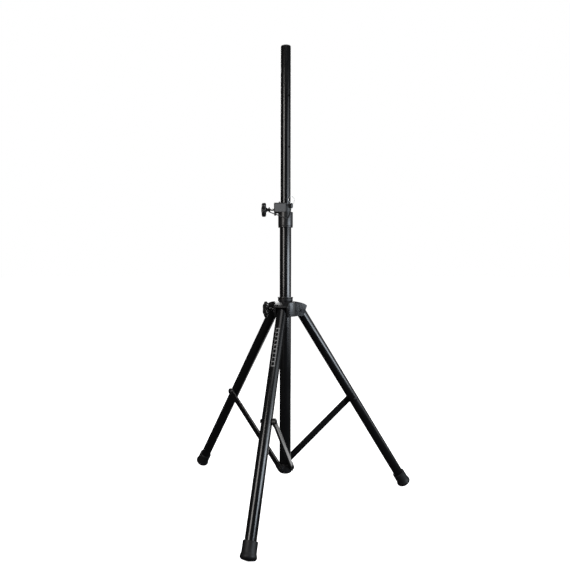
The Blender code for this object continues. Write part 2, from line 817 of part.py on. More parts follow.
def make_foot(name, leg, ground):
    mouth = foot_distance()
    tube_end = mouth + FOOT_SLEEVE_LENGTH + 0.0065
    outer = [(radius, -(mouth + along)) for radius, along in foot_profile()]
    inner = [
        (0.0, -tube_end),
        (LEG_RADIUS + GAP, -tube_end),
        (LEG_RADIUS + GAP, -mouth),
    ]
    foot = put("rubber_foot_" + name, turned(outer + inner + [outer[0]]), black_rubber(), leg)
    cut(foot, ground)
    return tube_end - GAP


def make_leg(name, leg, ground):
    end = make_foot(name, leg, ground)
    inner = LEG_RADIUS - LEG_WALL
    tube = put("leg_tube_" + name, ring(inner, LEG_RADIUS, -end, LEG_TOP_END), powder_coat(), leg)
    pivot_hole = cylinder(BOLT_HOLE_RADIUS, 0.06, SMALL_ROUND)
    joint_hole = cylinder(BOLT_HOLE_RADIUS, 0.06, SMALL_ROUND)
    pivot = cutter("leg_pivot_hole_" + name, pivot_hole, leg, (0.0, -0.03, 0.0), ALONG_Y)
    at_joint = (0.0, -0.03, -STRUT_JOINT_ON_LEG)
    cut(tube, pivot, cutter("leg_joint_hole_" + name, joint_hole, leg, at_joint, ALONG_Y))
    plug_profile = [
        (0.0, LEG_TOP_END + 0.0022),
        (LEG_RADIUS - 0.0020, LEG_TOP_END + 0.0022),
        (LEG_RADIUS - 0.0006, LEG_TOP_END + 0.0010),
        (LEG_RADIUS - 0.0006, LEG_TOP_END + GAP),
        (inner - GAP, LEG_TOP_END + GAP),
        (inner - GAP, LEG_TOP_END - LEG_PLUG_LENGTH),
        (0.0, LEG_TOP_END - LEG_PLUG_LENGTH),
    ]
    plug = put("leg_top_plug_" + name, turned(plug_profile, 24), moulded_nylon(), leg)
    cut(plug, pivot)


def make_leg_pivot(name, hub_spoke):
    """The bolt across a hub fork and the nut on its far side."""
    face = HUB_ARM_HALF_WIDTH + GAP
    at_bolt = (LEG_PIVOT_REACH, face, LEG_PIVOT_HEIGHT)
    shank = 2 * face + 0.0045
    put("leg_bolt_" + name, bolt(shank), black_steel(), hub_spoke, at_bolt, ALONG_Y)
    corners = arc((0.0, 0.0), NUT_RADIUS, 0, 300, 5)
    nut = prism([corners, arc((0.0, 0.0), BOLT_HOLE_RADIUS, 0, 330, 11)], NUT_HEIGHT)
    at_nut = (LEG_PIVOT_REACH, -face - NUT_HEIGHT / 2, LEG_PIVOT_HEIGHT)
    put("leg_nut_" + name, nut, black_steel(), hub_spoke, at_nut, ALONG_Y)


# ---------------------------------------------------------------- struts


def strut_length():
    """From the lower bolt to the joint on the leg, which the two triangles share."""
    reach = LEG_PIVOT_REACH + STRUT_JOINT_ON_LEG * math.sin(LEG_TILT)
    rise = LEG_PIVOT_HEIGHT - STRUT_JOINT_ON_LEG * math.cos(LEG_TILT) - STRUT_LOWER_HEIGHT
    return math.hypot(reach, rise), math.atan2(reach, rise)


def make_strut_end(name, strut, along, turn, low, high, neck):
    """A moulded end: its eye from low to high across the strut, its tongue inside the tube."""
    radius = STRUT_WIDTH / 2
    rim = arc((0.0, 0.0), radius, 90, 270, 12) + [(neck - GAP, -radius), (neck - GAP, radius)]
    hole = arc((0.0, 0.0), BOLT_HOLE_RADIUS, 0, 330, 11)
    facing = (math.pi / 2, turn, 0.0)
    place = (0.0, (low + high) / 2, along)
    end = put(name, prism([rim, hole], high - low), moulded_nylon(), strut, place, facing)
    half_width = STRUT_WIDTH / 2 - STRUT_THICKNESS / 2
    half_depth = STRUT_THICKNESS / 2 - STRUT_WALL - GAP
    tongue = box(
        (neck - 0.0015, -half_width, -half_depth), (neck + STRUT_TONGUE_LENGTH, half_width, half_depth)
    )
    in_tube = (0.0, STRUT_OFFSET, along)
    join(end, cutter(name + "_tongue", tongue, strut, in_tube, facing))


def make_strut(name, strut, length):
    """A flattened tube between two moulded ends."""
    outer = stadium(STRUT_WIDTH, STRUT_THICKNESS)
    inner = stadium(STRUT_WIDTH - 2 * STRUT_WALL, STRUT_THICKNESS - 2 * STRUT_WALL)
    tube_length = length - STRUT_LOWER_NECK - STRUT_UPPER_NECK
    middle = STRUT_LOWER_NECK + tube_length / 2
    tube = prism([outer, inner], tube_length)
    put("strut_tube_" + name, tube, powder_coat(), strut, (0.0, STRUT_OFFSET, middle))
    near = STRUT_OFFSET - STRUT_THICKNESS / 2
    far = STRUT_OFFSET + STRUT_THICKNESS / 2
    upper = "strut_upper_end_" + name
    lower = "strut_lower_end_" + name
    make_strut_end(upper, strut, length, math.pi / 2, near, far, STRUT_UPPER_NECK)
    make_strut_end(lower, strut, 0.0, -math.pi / 2, STRUT_LOWER_EYE_FACE, far, STRUT_LOWER_NECK)


def make_strut_bolts(name, spoke, leg, strut, length):
    """The lower bolt on the bracket, and the upper one in two halves: the leg's and the strut's."""
    outer_face = STRUT_OFFSET + STRUT_THICKNESS / 2 + GAP
    lower_shank = outer_face - (MAIN_TUBE_RADIUS + 2 * GAP)
    at_lower = (0.0, outer_face, STRUT_LOWER_HEIGHT)
    put("strut_bolt_" + name, bolt(lower_shank), black_steel(), spoke, at_lower, ALONG_Y)

    inner_face = STRUT_OFFSET - STRUT_THICKNESS / 2
    stub = outer_face - inner_face - GAP
    at_upper = (0.0, outer_face, length)
    put("strut_cap_bolt_" + name, bolt(stub), black_steel(), strut, at_upper, ALONG_Y)

    leg_face = LEG_RADIUS + GAP
    spacer_face = inner_face - GAP
    spacer = ring(BOLT_HOLE_RADIUS, 0.0100, 0.0, spacer_face - leg_face, 20)
    at_spacer = (0.0, leg_face, -STRUT_JOINT_ON_LEG)
    put("strut_spacer_" + name, spacer, moulded_nylon(), leg, at_spacer, ALONG_Y)
    away_from_strut = (math.pi / 2, 0.0, 0.0)
    at_far_side = (0.0, -leg_face, -STRUT_JOINT_ON_LEG)
    shank = leg_face + spacer_face - GAP
    put("leg_joint_bolt_" + name, bolt(shank), black_steel(), leg, at_far_side, away_from_strut)


# ---------------------------------------------------------------- the whole stand


def main():
    global parts, cutters
    clear_scene()
    parts = new_collection("speaker_stand")
    cutters = new_collection("cutters")

    stand = frame("stand", None, (0.0, AXIS_Y, 0.0))
    hub = frame("hub", stand)
    mast = frame("mast", stand)
    collar = frame("collar", stand, azimuth=COLLAR_KNOB_AZIMUTH)
    pin_frame = frame("pin", stand, azimuth=PIN_AZIMUTH)
    hub_screw = frame("hub_screw", hub, azimuth=HUB_SCREW_AZIMUTH)
    spokes = {name: frame("spoke_" + name, stand, azimuth=a) for name, a in LEG_AZIMUTHS.items()}
    ground_mesh = box((-1.0, -1.0, -0.1), (1.0, 1.0, 0.0))
    ground = cutter("ground", ground_mesh, None)

    make_column(stand)
    make_bottom_bracket(stand, spokes)
    make_mast(mast, pin_frame)
    make_collar(collar, pin_frame)
    make_collar_bush(collar, pin_frame)
    make_pin(pin_frame)
    make_lanyard(collar)

    collar_tip = make_shoe("collar_shoe", collar, COLLAR_SCREW_HEIGHT, MAST_RADIUS)
    make_screw("collar_knob_screw", collar, COLLAR_SCREW_HEIGHT, collar_tip + GAP, COLLAR_STEM_END)
    make_knob(
        "collar_knob",
        collar,
        COLLAR_SCREW_HEIGHT,
        COLLAR_KNOB_RADIUS,
        COLLAR_KNOB_INNER,
        COLLAR_KNOB_THICKNESS,
        COLLAR_STEM_END,
    )

    make_hub(hub, hub_screw, spokes)
    make_hub_bush(hub, hub_screw)
    hub_tip = make_shoe("hub_shoe", hub_screw, HUB_SCREW_HEIGHT, MAIN_TUBE_RADIUS)
    make_screw("hub_knob_screw", hub_screw, HUB_SCREW_HEIGHT, hub_tip + GAP, HUB_STEM_END)
    make_knob(
        "hub_knob",
        hub_screw,
        HUB_SCREW_HEIGHT,
        HUB_KNOB_RADIUS,
        HUB_KNOB_INNER,
        HUB_KNOB_THICKNESS,
        HUB_STEM_END,
    )

    length, lean = strut_length()
    for name, spoke in spokes.items():
        pivot = (LEG_PIVOT_REACH, 0.0, LEG_PIVOT_HEIGHT)
        leg = frame("leg_" + name, spoke, pivot, tilt=-LEG_TILT)
        strut = frame("strut_" + name, spoke, (0.0, 0.0, STRUT_LOWER_HEIGHT), tilt=lean)
        make_leg_pivot(name, spoke)
        make_leg(name, leg, ground)
        make_strut(name, strut, length)
        make_strut_bolts(name, spoke, leg, strut, length)


main()
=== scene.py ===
"""The looks of a tripod speaker stand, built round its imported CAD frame.

Every piece stands for one CAD node and rides on that node's body. Lengths are in metres, and the
stand's own frames (round the pole, along a leg, along a strut) come from the frame's joints.
"""

import json
import math

import bmesh
import bpy
from mathutils import Matrix, Vector


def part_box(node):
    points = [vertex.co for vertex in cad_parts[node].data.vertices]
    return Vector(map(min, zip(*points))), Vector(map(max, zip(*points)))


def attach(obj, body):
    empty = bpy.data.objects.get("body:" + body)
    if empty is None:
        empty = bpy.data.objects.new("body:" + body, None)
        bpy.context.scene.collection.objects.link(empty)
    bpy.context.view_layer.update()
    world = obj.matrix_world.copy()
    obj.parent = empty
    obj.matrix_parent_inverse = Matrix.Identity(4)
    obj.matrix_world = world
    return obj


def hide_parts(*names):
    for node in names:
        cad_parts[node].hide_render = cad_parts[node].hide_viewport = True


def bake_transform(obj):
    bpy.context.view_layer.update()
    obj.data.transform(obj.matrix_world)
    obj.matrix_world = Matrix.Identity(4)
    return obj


LEG_NAMES = ("front", "right", "left")

# Poles.
MAIN_RADIUS = 0.0200
MAIN_WALL = 0.0015
MAST_RADIUS = 0.0175
MAST_WALL = 0.0015
PIN_HOLE_RADIUS = 0.0035
PIN_HOLE_TOP = 1.407
PIN_HOLE_SPACING = 0.176
PIN_HOLE_COUNT = 5

BRACKET_RADIUS = 0.0232
BRACKET_PAD_RADIUS = 0.0115
GUIDE_BUSH_RADIUS = 0.0182
GUIDE_BUSH_BORE = 0.0100

# Clamp collar, knobs and safety pin.
COLLAR_RADIUS = 0.0255
COLLAR_SLEEVE_TOP = 1.0064
COLLAR_BLOCK_BACK = -0.0040
COLLAR_BLOCK_REACH = 0.0400
COLLAR_BLOCK_HALF_WIDTH = 0.0235
COLLAR_BLOCK_BOTTOM = 1.0035
COLLAR_BLOCK_TOP = 1.0380
COLLAR_NUB = ((0.0185, -0.0060, 1.0360), (0.0235, 0.0060, 1.0430))
COLLAR_LUG = ((0.0330, -0.0090, 0.9950), (0.0395, 0.0090, 1.0050))
COLLAR_BUSH_RADIUS = 0.0193
COLLAR_STEM_END = 0.0535
HUB_STEM_END = 0.0480
# Each knob's radius, its inner face's distance from the pole's axis, and its thickness.
KNOB_SIZES = {"collar_knob": (0.0245, 0.0672, 0.0175), "hub_knob": (0.0285, 0.0645, 0.0140)}
KNOB_LOBES = 6
KNOB_STEM_RADIUS = 0.0056
SCREW_RADIUS = 0.0040
SCREW_HOLE_RADIUS = 0.0044
THREAD_PITCH = 0.00125
THREAD_DEPTH = 0.0006
THREAD_TIP = 0.0012
THREAD_TIP_DROP = 0.0005
THREAD_ROWS_PER_TURN = 10
THREAD_STEPS = 40
SHOE_RADIUS = 0.0070
SHOE_THICKNESS = 0.0030
PIN_RADIUS = 0.0028
PIN_TIP = 0.0181
PIN_BOSS_RADIUS = 0.0060
PIN_BOSS_END = 0.0248
PIN_EYE_RADIUS = 0.0019
PIN_RING_WIRE = 0.00045
PIN_RING_TURNS = 2
PIN_RING_STEPS = 200
PIN_HEAD_INNER = 0.0260
PIN_HEAD_OUTER = 0.0340
PIN_RING_RADIUS = 0.0135
PIN_RING_HEIGHT = 1.0325

# Hub.
HUB_DRUM_RADIUS = 0.0410
HUB_TOP = 0.6975
HUB_FLANGE_BOTTOM = 0.6978
HUB_ARM_HALF_WIDTH = 0.0235
HUB_SLOT_HALF_WIDTH = 0.0180
HUB_ARM_REACH = 0.0725
HUB_ARM_FOOT = 0.0585
HUB_BOSS_RADIUS = 0.0095
HUB_BOSS_END = 0.0440
HUB_RIB_REACHES = (0.0375, 0.0450)
HUB_BUSH_RADIUS = 0.0222
HUB_FLANGE_RADIUS = 0.0270

# Legs, feet and struts.
LEG_RADIUS = 0.0175
LEG_WALL = 0.0012
LEG_TOP_END = 0.0100
STRUT_JOINT_ON_LEG = 0.382
STRUT_OFFSET = 0.0245
STRUT_WIDTH = 0.024
STRUT_THICKNESS = 0.008
STRUT_WALL = 0.0012
STRUT_LOWER_NECK = 0.018
STRUT_UPPER_NECK = 0.012
STRUT_LOWER_EYE_FACE = 0.0235
FOOT_SLEEVE_LENGTH = 0.034
FOOT_SLEEVE_RADIUS = 0.0220
FOOT_BULGE_RADIUS = 0.02475
FOOT_CORNER_RADIUS = 0.0095
FOOT_DOME_RISE = 0.0030
FOOT_FLAT_DEPTH = 0.0008
FOOT_TUBE_INSET = 0.0405

# Fasteners.
BOLT_RADIUS = 0.0030
BOLT_HOLE_RADIUS = 0.0034
BOLT_HEAD_RADIUS = 0.0065
BOLT_HEAD_HEIGHT = 0.0040
NUT_RADIUS = 0.0062
NUT_HEIGHT = 0.0050

# Lanyard, in the collar's frame: from the loop on the knob's stem to beside the pin's boss.
CORD_RADIUS = 0.0018
CORD_LOOP_RADIUS = 0.0078
CORD_LOOP_REACH = 0.0570
CORD_LOOP_STEPS = 240
CORD_STEP = 0.00022
CORD_BRAID_PITCH = 0.0062
CORD_ROUTE = [
    (0.0556, 0.00665, 1.0082),
    (0.0535, 0.0084, 1.0063),
    (0.0500, 0.0100, 1.0043),
    (0.0440, 0.0118, 1.0020),
    (0.0380, 0.0142, 0.9997),
    (0.0300, 0.0173, 0.9967),
    (0.0210, 0.0212, 0.9928),
    (0.0120, 0.0250, 0.9889),
    (0.0030, 0.0275, 0.9853),
    (-0.0040, 0.0274, 0.9831),
    (-0.0090, 0.0262, 0.9850),
    (-0.0126, 0.0247, 0.9908),
    (-0.0152, 0.0231, 0.9990),
    (-0.0172, 0.0216, 1.0085),
    (-0.01845, 0.0205, 1.0172),
]

GAP = 0.0003
ROUND = 96
SMALL_ROUND = 48
EDGE = 0.0007
SHARP_ANGLE = math.radians(38)
WELD_DISTANCE = 1e-6

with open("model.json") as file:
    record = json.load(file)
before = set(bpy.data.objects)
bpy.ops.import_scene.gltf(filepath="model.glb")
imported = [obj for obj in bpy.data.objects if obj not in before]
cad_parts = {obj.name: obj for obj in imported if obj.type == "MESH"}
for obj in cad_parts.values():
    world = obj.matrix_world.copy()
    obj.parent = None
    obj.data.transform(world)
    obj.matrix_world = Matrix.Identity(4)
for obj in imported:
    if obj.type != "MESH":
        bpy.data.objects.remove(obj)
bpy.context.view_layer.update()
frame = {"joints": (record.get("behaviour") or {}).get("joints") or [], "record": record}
JOINTS = {joint["name"]: joint for joint in frame["joints"]}
BODY_OF = {
    node: body for body, nodes in frame["record"]["behaviour"]["bodies"].items() for node in nodes
}
SLOT_OF = {part["node"]: part["material_slot"] for part in frame["record"]["subparts"]}


# ---- frames


def low_z(node):
    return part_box(node)[0].z


def high_z(node):
    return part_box(node)[1].z


def pole_axis():
    low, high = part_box("main_tube")
    return Vector(((low.x + high.x) / 2, (low.y + high.y) / 2, 0.0))


AXIS = pole_axis()


def round_pole(azimuth=0.0, height=0.0):
    """A frame on the pole's axis, its X turned to an azimuth in radians."""
    return Matrix.Translation(AXIS + Vector((0, 0, height))) @ turn_z(azimuth)


def toward(joint):
    """The azimuth that a joint's axis points to."""
    axis = JOINTS[joint]["axis"]
    return math.atan2(axis[1], axis[0])


def spoke(name):
    """The azimuth of a leg, which is a right angle before its hinge axis."""
    return toward("leg_" + name + "_fold") - math.pi / 2


LEG_TILT = math.radians(JOINTS["leg_front_fold"]["range_deg"][1])
LEG_PIVOT = Vector(JOINTS["leg_front_fold"]["pos_m"]) - AXIS
LEG_PIVOT_HEIGHT = LEG_PIVOT.z
LEG_PIVOT_REACH = math.hypot(LEG_PIVOT.x, LEG_PIVOT.y)
STRUT_LOWER_HEIGHT = JOINTS["strut_front_fold"]["pos_m"][2]
JOINT_REACH = LEG_PIVOT_REACH + STRUT_JOINT_ON_LEG * math.sin(LEG_TILT)
JOINT_RISE = LEG_PIVOT_HEIGHT - STRUT_JOINT_ON_LEG * math.cos(LEG_TILT) - STRUT_LOWER_HEIGHT
STRUT_LENGTH = math.hypot(JOINT_REACH, JOINT_RISE)
STRUT_LEAN = math.atan2(JOINT_REACH, JOINT_RISE)

COLLAR_AZIMUTH = toward("collar_knob_turn")
COLLAR_SCREW_HEIGHT = JOINTS["collar_knob_turn"]["pos_m"][2]
PIN_AZIMUTH = toward("pin_pull")
PIN_HEIGHT = (low_z("safety_pin") + high_z("safety_pin")) / 2
HUB_SCREW_AZIMUTH = toward("hub_knob_turn")
HUB_SCREW_HEIGHT = JOINTS["hub_knob_turn"]["pos_m"][2]


def along_leg(name):
    """Origin on the leg's pivot, -Z down the leg, X outward."""
    pivot = Matrix.Translation((LEG_PIVOT_REACH, 0.0, LEG_PIVOT_HEIGHT))
    return round_pole(spoke(name)) @ pivot @ Matrix.Rotation(-LEG_TILT, 4, "Y")


def along_strut(name):
    """Origin on the strut's lower bolt, +Z up the strut."""
    return round_pole(spoke(name), STRUT_LOWER_HEIGHT) @ Matrix.Rotation(STRUT_LEAN, 4, "Y")


def turn_z(angle):
    return Matrix.Rotation(angle, 4, "Z")


def shift(x=0.0, y=0.0, z=0.0):
    return Matrix.Translation((x, y, z))


TO_X = Matrix.Rotation(math.pi / 2, 4, "Y")
TO_Y = Matrix.Rotation(-math.pi / 2, 4, "X")
TO_MINUS_Y = Matrix.Rotation(math.pi / 2, 4, "X")


# ---- shaders


def new_material(name, color, roughness, metallic=0.0):
    made = bpy.data.materials.new(name)
    made.use_nodes = True
    shader = made.node_tree.nodes["Principled BSDF"]
    shader.inputs["Base Color"].default_value = (*color, 1.0)
    shader.inputs["Roughness"].default_value = roughness
    shader.inputs["Metallic"].default_value = metallic
    return made, shader


def add(material, kind, **values):
    """A node whose properties and sockets are set by name."""
    node = material.node_tree.nodes.new(kind)
    for name, value in values.items():
        if hasattr(node, name):
            setattr(node, name, value)
        else:
            node.inputs[name.replace("_", " ").title()].default_value = value
    return node


def link(material, source, target):
    material.node_tree.links.new(source, target)


def coordinates(material, scale=(1.0, 1.0, 1.0)):
    """Object coordinates, which are the stand's own metres, stretched along an axis where asked."""
    place = add(material, "ShaderNodeTexCoord")
    mapping = add(material, "ShaderNodeMapping")
    mapping.inputs["Scale"].default_value = scale
    link(material, place.outputs["Object"], mapping.inputs["Vector"])
    return mapping.outputs["Vector"]


def noise(material, vector, scale, detail=3.0, roughness=0.5):
    node = add(material, "ShaderNodeTexNoise", scale=scale, detail=detail, roughness=roughness)
    link(material, vector, node.inputs["Vector"])
    return node.outputs["Fac"]


def remap(material, value, low_in, high_in, low_out, high_out):
    node = add(material, "ShaderNodeMapRange")
    for socket, number in zip(
        ("From Min", "From Max", "To Min", "To Max"), (low_in, high_in, low_out, high_out)
    ):
        node.inputs[socket].default_value = number
    link(material, value, node.inputs["Value"])
    return node.outputs["Result"]


def mixed(material, amount, first, second):
    node = add(material, "ShaderNodeMix", data_type="RGBA")
    node.inputs["A"].default_value = (*first, 1.0)
    node.inputs["B"].default_value = (*second, 1.0)
    link(material, amount, node.inputs["Factor"])
    return node.outputs["Result"]


def bumped(material, shader, height, distance, strength=1.0):
    node = add(material, "ShaderNodeBump", strength=strength, distance=distance)
    link(material, height, node.inputs["Height"])
    link(material, node.outputs["Normal"], shader.inputs["Normal"])


def tinted(material, shader, amount, first, second):
    """A base colour that goes from the first to the second with the amount."""
    link(material, mixed(material, amount, first, second), shader.inputs["Base Color"])


def roughened(material, shader, value, low_in, high_in, low_out, high_out):
    """A roughness that follows a noise between two limits."""
    result = remap(material, value, low_in, high_in, low_out, high_out)
    link(material, result, shader.inputs["Roughness"])


def powder_coat():
    """Semi-gloss black powder: a faint orange peel, and long hair-thin rubs down the tubes."""
    made, shader = new_material("powder_coat_black", (0.005, 0.005, 0.0055), 0.22)
    place = coordinates(made)
    peel = noise(made, place, 620.0, 2.0)
    bumped(made, shader, peel, 0.000004, 0.1)
    drift = noise(made, place, 14.0, 1.0)
    roughened(made, shader, drift, 0.3, 0.7, 0.18, 0.25)
    rubs = noise(made, coordinates(made, (1400.0, 1400.0, 22.0)), 1.0, 2.0)
    amount = remap(made, rubs, 0.66, 0.80, 0.0, 0.35)
    tinted(made, shader, amount, (0.0045, 0.0045, 0.0050), (0.014, 0.014, 0.015))
    return made


def moulded_nylon():
    """Glass-filled nylon: a spark-eroded grain, with greyer flow marks."""
    made, shader = new_material("moulded_nylon_black", (0.011, 0.011, 0.0115), 0.34)
    place = coordinates(made)
    grain = noise(made, place, 1900.0, 2.0, 0.65)
    bumped(made, shader, grain, 0.00005, 0.4)
    flow = noise(made, place, 55.0, 4.0, 0.6)
    roughened(made, shader, flow, 0.3, 0.7, 0.28, 0.40)
    amount = remap(made, flow, 0.35, 0.75, 0.0, 1.0)
    tinted(made, shader, amount, (0.009, 0.009, 0.0095), (0.016, 0.016, 0.0165))
    return made


def painted_light_nylon():
    """The same nylon with a coarser grain, painted paler as painted light for the light that the clamp
    block's flat faces catch.
    """
    made, shader = new_material("nylon_painted_light_grey", (0.110, 0.110, 0.112), 0.62)
    place = coordinates(made)
    grain = noise(made, place, 1500.0, 3.0, 0.7)
    bumped(made, shader, grain, 0.00010, 0.6)
    amount = remap(made, grain, 0.35, 0.70, 0.0, 1.0)
    # Both tints are pale, which is painted light; the grain only mottles between them.
    tinted(made, shader, amount, (0.085, 0.085, 0.087), (0.140, 0.140, 0.143))
    return made


def black_rubber():
    """Soft rubber: a fine pore, and pale scuffs where a foot meets the ground."""
    made, shader = new_material("foot_rubber_black", (0.012, 0.012, 0.0125), 0.55)
    shader.inputs["Specular IOR Level"].default_value = 0.3
    place = coordinates(made)
    pore = noise(made, place, 1300.0, 3.0, 0.6)
    bumped(made, shader, pore, 0.00010, 0.5)
    scuff = noise(made, place, 210.0, 5.0, 0.7)
    amount = remap(made, scuff, 0.56, 0.78, 0.0, 1.0)
    tinted(made, shader, amount, (0.009, 0.009, 0.0095), (0.030, 0.029, 0.028))
    roughened(made, shader, scuff, 0.3, 0.8, 0.42, 0.66)
    return made


def bright_steel():
    """Zinc-plated steel with fine turning marks and faint cloudy spots."""
    made, shader = new_material("zinc_plated_steel", (0.72, 0.72, 0.71), 0.22, 1.0)
    place = coordinates(made)
    cloud = noise(made, place, 420.0, 4.0, 0.6)
    roughened(made, shader, cloud, 0.3, 0.7, 0.16, 0.34)
    tinted(made, shader, cloud, (0.80, 0.80, 0.79), (0.60, 0.60, 0.60))
    bumped(made, shader, noise(made, place, 2600.0, 2.0), 0.00003, 0.35)
    return made


def black_steel():
    """Black-oxide steel, slightly worn to grey where it is highest."""
    made, shader = new_material("black_oxide_steel", (0.028, 0.028, 0.030), 0.4, 0.7)
    place = coordinates(made)
    wear = noise(made, place, 260.0, 5.0, 0.65)
    amount = remap(made, wear, 0.52, 0.76, 0.0, 1.0)
    tinted(made, shader, amount, (0.024, 0.024, 0.026), (0.085, 0.085, 0.088))
    roughened(made, shader, wear, 0.3, 0.7, 0.34, 0.50)
    bumped(made, shader, noise(made, place, 1500.0, 3.0), 0.00006, 0.5)
    return made


def braided_cord():
    """Polyester braid: the strands are in the mesh, and the fibre is in the shader."""
    made, shader = new_material("braided_polyester_black", (0.014, 0.014, 0.015), 0.75)
    shader.inputs["Sheen Weight"].default_value = 0.35
    shader.inputs["Sheen Roughness"].default_value = 0.4
    place = coordinates(made)
    fibre = noise(made, place, 5200.0, 2.0)
    bumped(made, shader, fibre, 0.00004, 0.6)
    tinted(made, shader, fibre, (0.010, 0.010, 0.011), (0.030, 0.030, 0.032))
    return made


def label_ink():
    """Grey-white screen-print ink, a little thin in places."""
    made, shader = new_material("screen_print_white", (0.24, 0.24, 0.24), 0.45)
    place = coordinates(made)
    thin = noise(made, place, 900.0, 4.0, 0.6)
    amount = remap(made, thin, 0.55, 0.75, 0.0, 1.0)
    tinted(made, shader, amount, (0.27, 0.27, 0.27), (0.15, 0.15, 0.15))
    bumped(made, shader, thin, 0.00003, 0.4)
    return made


FINISHES = {
    "powder_coat": powder_coat(),
    "moulded_nylon": moulded_nylon(),
    "painted_light_nylon": painted_light_nylon(),
    "black_rubber": black_rubber(),
    "bright_steel": bright_steel(),
    "black_steel": black_steel(),
    "braided_cord": braided_cord(),
}


# ---- meshes


def finished(shape):
    mesh = bpy.data.meshes.new("shape")
    bmesh.ops.recalc_face_normals(shape, faces=shape.faces)
    shape.to_mesh(mesh)
    shape.free()
    return mesh


def softened(points, radius=EDGE, steps=4, closed=False):
    """The same outline with each corner rounded, by at most 0.45 of the shorter side next to it."""
    count = len(points)
    made = []
    for index, point in enumerate(points):
        if not closed and index in (0, count - 1):
            made.append(point)
            continue
        before, here, after = (Vector(points[(index + step) % count]) for step in (-1, 0, 1))
        back, on = before - here, after - here
        reach = min(radius, 0.45 * back.length, 0.45 * on.length)
        start, end = here + back.normalized() * reach, here + on.normalized() * reach
        for step in range(steps + 1):
            t = step / steps
            made.append(tuple((1 - t) ** 2 * start + 2 * t * (1 - t) * here + t * t * end))
    return made


def skinned(rows, closed=False):
    """A mesh over rows of points of the same count, closed end to end or capped."""
    shape = bmesh.new()
    rows = [[shape.verts.new(point) for point in row] for row in rows]
    pairs = list(zip(rows, rows[1:]))
    if closed:
        pairs.append((rows[-1], rows[0]))
    for lower, upper in pairs:
        for step in range(len(lower)):
            after = (step + 1) % len(lower)
            shape.faces.new((lower[step], lower[after], upper[after], upper[step]))
    if not closed:
        shape.faces.new(rows[0][::-1])
        shape.faces.new(rows[-1])
    return finished(shape)


def turned(profile, steps=ROUND, closed=False, lobes=None):
    """A mesh turned round Z from (radius, height) points; lobes(radius, turn) reshapes a radius."""
    shape = bmesh.new()
    rows = []
    for radius, height in profile:
        if radius < 1e-7:
            rows.append([shape.verts.new((0.0, 0.0, height))])
            continue
        row = []
        for step in range(steps):
            turn = 2 * math.pi * step / steps
            reach = lobes(radius, turn) if lobes else radius
            row.append(shape.verts.new((reach * math.cos(turn), reach * math.sin(turn), height)))
        rows.append(row)
    pairs = list(zip(rows, rows[1:]))
    if closed:
        pairs.append((rows[-1], rows[0]))
    for upper, lower in pairs:
        for step in range(steps):
            after = (step + 1) % steps
            corners = [upper[step % len(upper)], lower[step % len(lower)]]
            corners += [lower[after % len(lower)], upper[after % len(upper)]]
            face = list(dict.fromkeys(corners))
            if len(face) > 2:
                shape.faces.new(face)
    return finished(shape)


def tube(inner, outer, low, high, steps=ROUND, edge=0.0004):
    profile = [(outer, high), (outer, low), (inner, low), (inner, high)]
    return turned(softened(profile, edge, closed=True), steps, closed=True)


def rod(radius, low, high, steps=SMALL_ROUND, edge=EDGE):
    profile = [(0.0, high), (radius, high), (radius, low), (0.0, low)]
    return turned(softened(profile, edge), steps)


def drill(radius, length, steps=SMALL_ROUND):
    """A plain cutter from z = 0 to z = length."""
    return turned([(0.0, length), (radius, length), (radius, 0.0), (0.0, 0.0)], steps)


def block(low, high, edge=EDGE, segments=3):
    shape = bmesh.new()
    bmesh.ops.create_cube(shape, size=1.0)
    size = [b - a for a, b in zip(low, high)]
    middle = [(a + b) / 2 for a, b in zip(low, high)]
    bmesh.ops.scale(shape, verts=shape.verts, vec=size)
    bmesh.ops.translate(shape, verts=shape.verts, vec=middle)
    if edge:
        round_off(shape, list(shape.edges), edge, segments)
    return finished(shape)


def round_off(shape, edges, width, segments=3):
    how = {"offset_type": "OFFSET", "profile": 0.5, "affect": "EDGES", "clamp_overlap": True}
    bmesh.ops.bevel(shape, geom=edges, offset=width, segments=segments, **how)


def plate(outline, low, high, edge=EDGE, segments=3):
    """A flat outline in XY, extruded from z = low to z = high, its rims rounded."""
    shape = bmesh.new()
    lower = [shape.verts.new((x, y, low)) for x, y in outline]
    upper = [shape.verts.new((x, y, high)) for x, y in outline]
    count = len(outline)
    rims = [shape.faces.new(lower[::-1]), shape.faces.new(upper)]
    for index in range(count):
        after = (index + 1) % count
        shape.faces.new((lower[index], lower[after], upper[after], upper[index]))
    if edge:
        round_off(shape, list({e for face in rims for e in face.edges}), edge, segments)
    return finished(shape)


def arc(middle, radius, start, end, steps):
    turns = [math.radians(start + (end - start) * step / steps) for step in range(steps + 1)]
    return [(middle[0] + radius * math.cos(a), middle[1] + radius * math.sin(a)) for a in turns]


def stadium(width, height, steps=16):
    radius = height / 2
    straight = width / 2 - radius
    return arc((straight, 0.0), radius, -90, 90, steps) + arc((-straight, 0.0), radius, 90, 270, steps)


def loft(outlines, closed=False):
    """A skin through (outline, height) sections of the same point count."""
    return skinned([[(x, y, z) for x, y in outline] for outline, z in outlines], closed)


def placed(mesh, matrix):
    mesh.transform(matrix)
    return mesh


def combined(mesh, operation, *others):
    """The mesh cut by the others, or joined to them."""
    scene = bpy.context.scene.collection
    body = bpy.data.objects.new("working", mesh)
    scene.objects.link(body)
    tools = []
    for other in others:
        tool = bpy.data.objects.new("tool", other)
        scene.objects.link(tool)
        change = body.modifiers.new("change", "BOOLEAN")
        change.operation = operation
        change.object = tool
        change.solver = "EXACT"
        tools.append(tool)
    bpy.context.view_layer.update()
    graph = bpy.context.evaluated_depsgraph_get()
    made = bpy.data.meshes.new_from_object(body.evaluated_get(graph))
    for thing in [body, *tools]:
        bpy.data.objects.remove(thing)
    return made


def cut(mesh, *others):
    return combined(mesh, "DIFFERENCE", *others)


def join(mesh, *others):
    return combined(mesh, "UNION", *others)


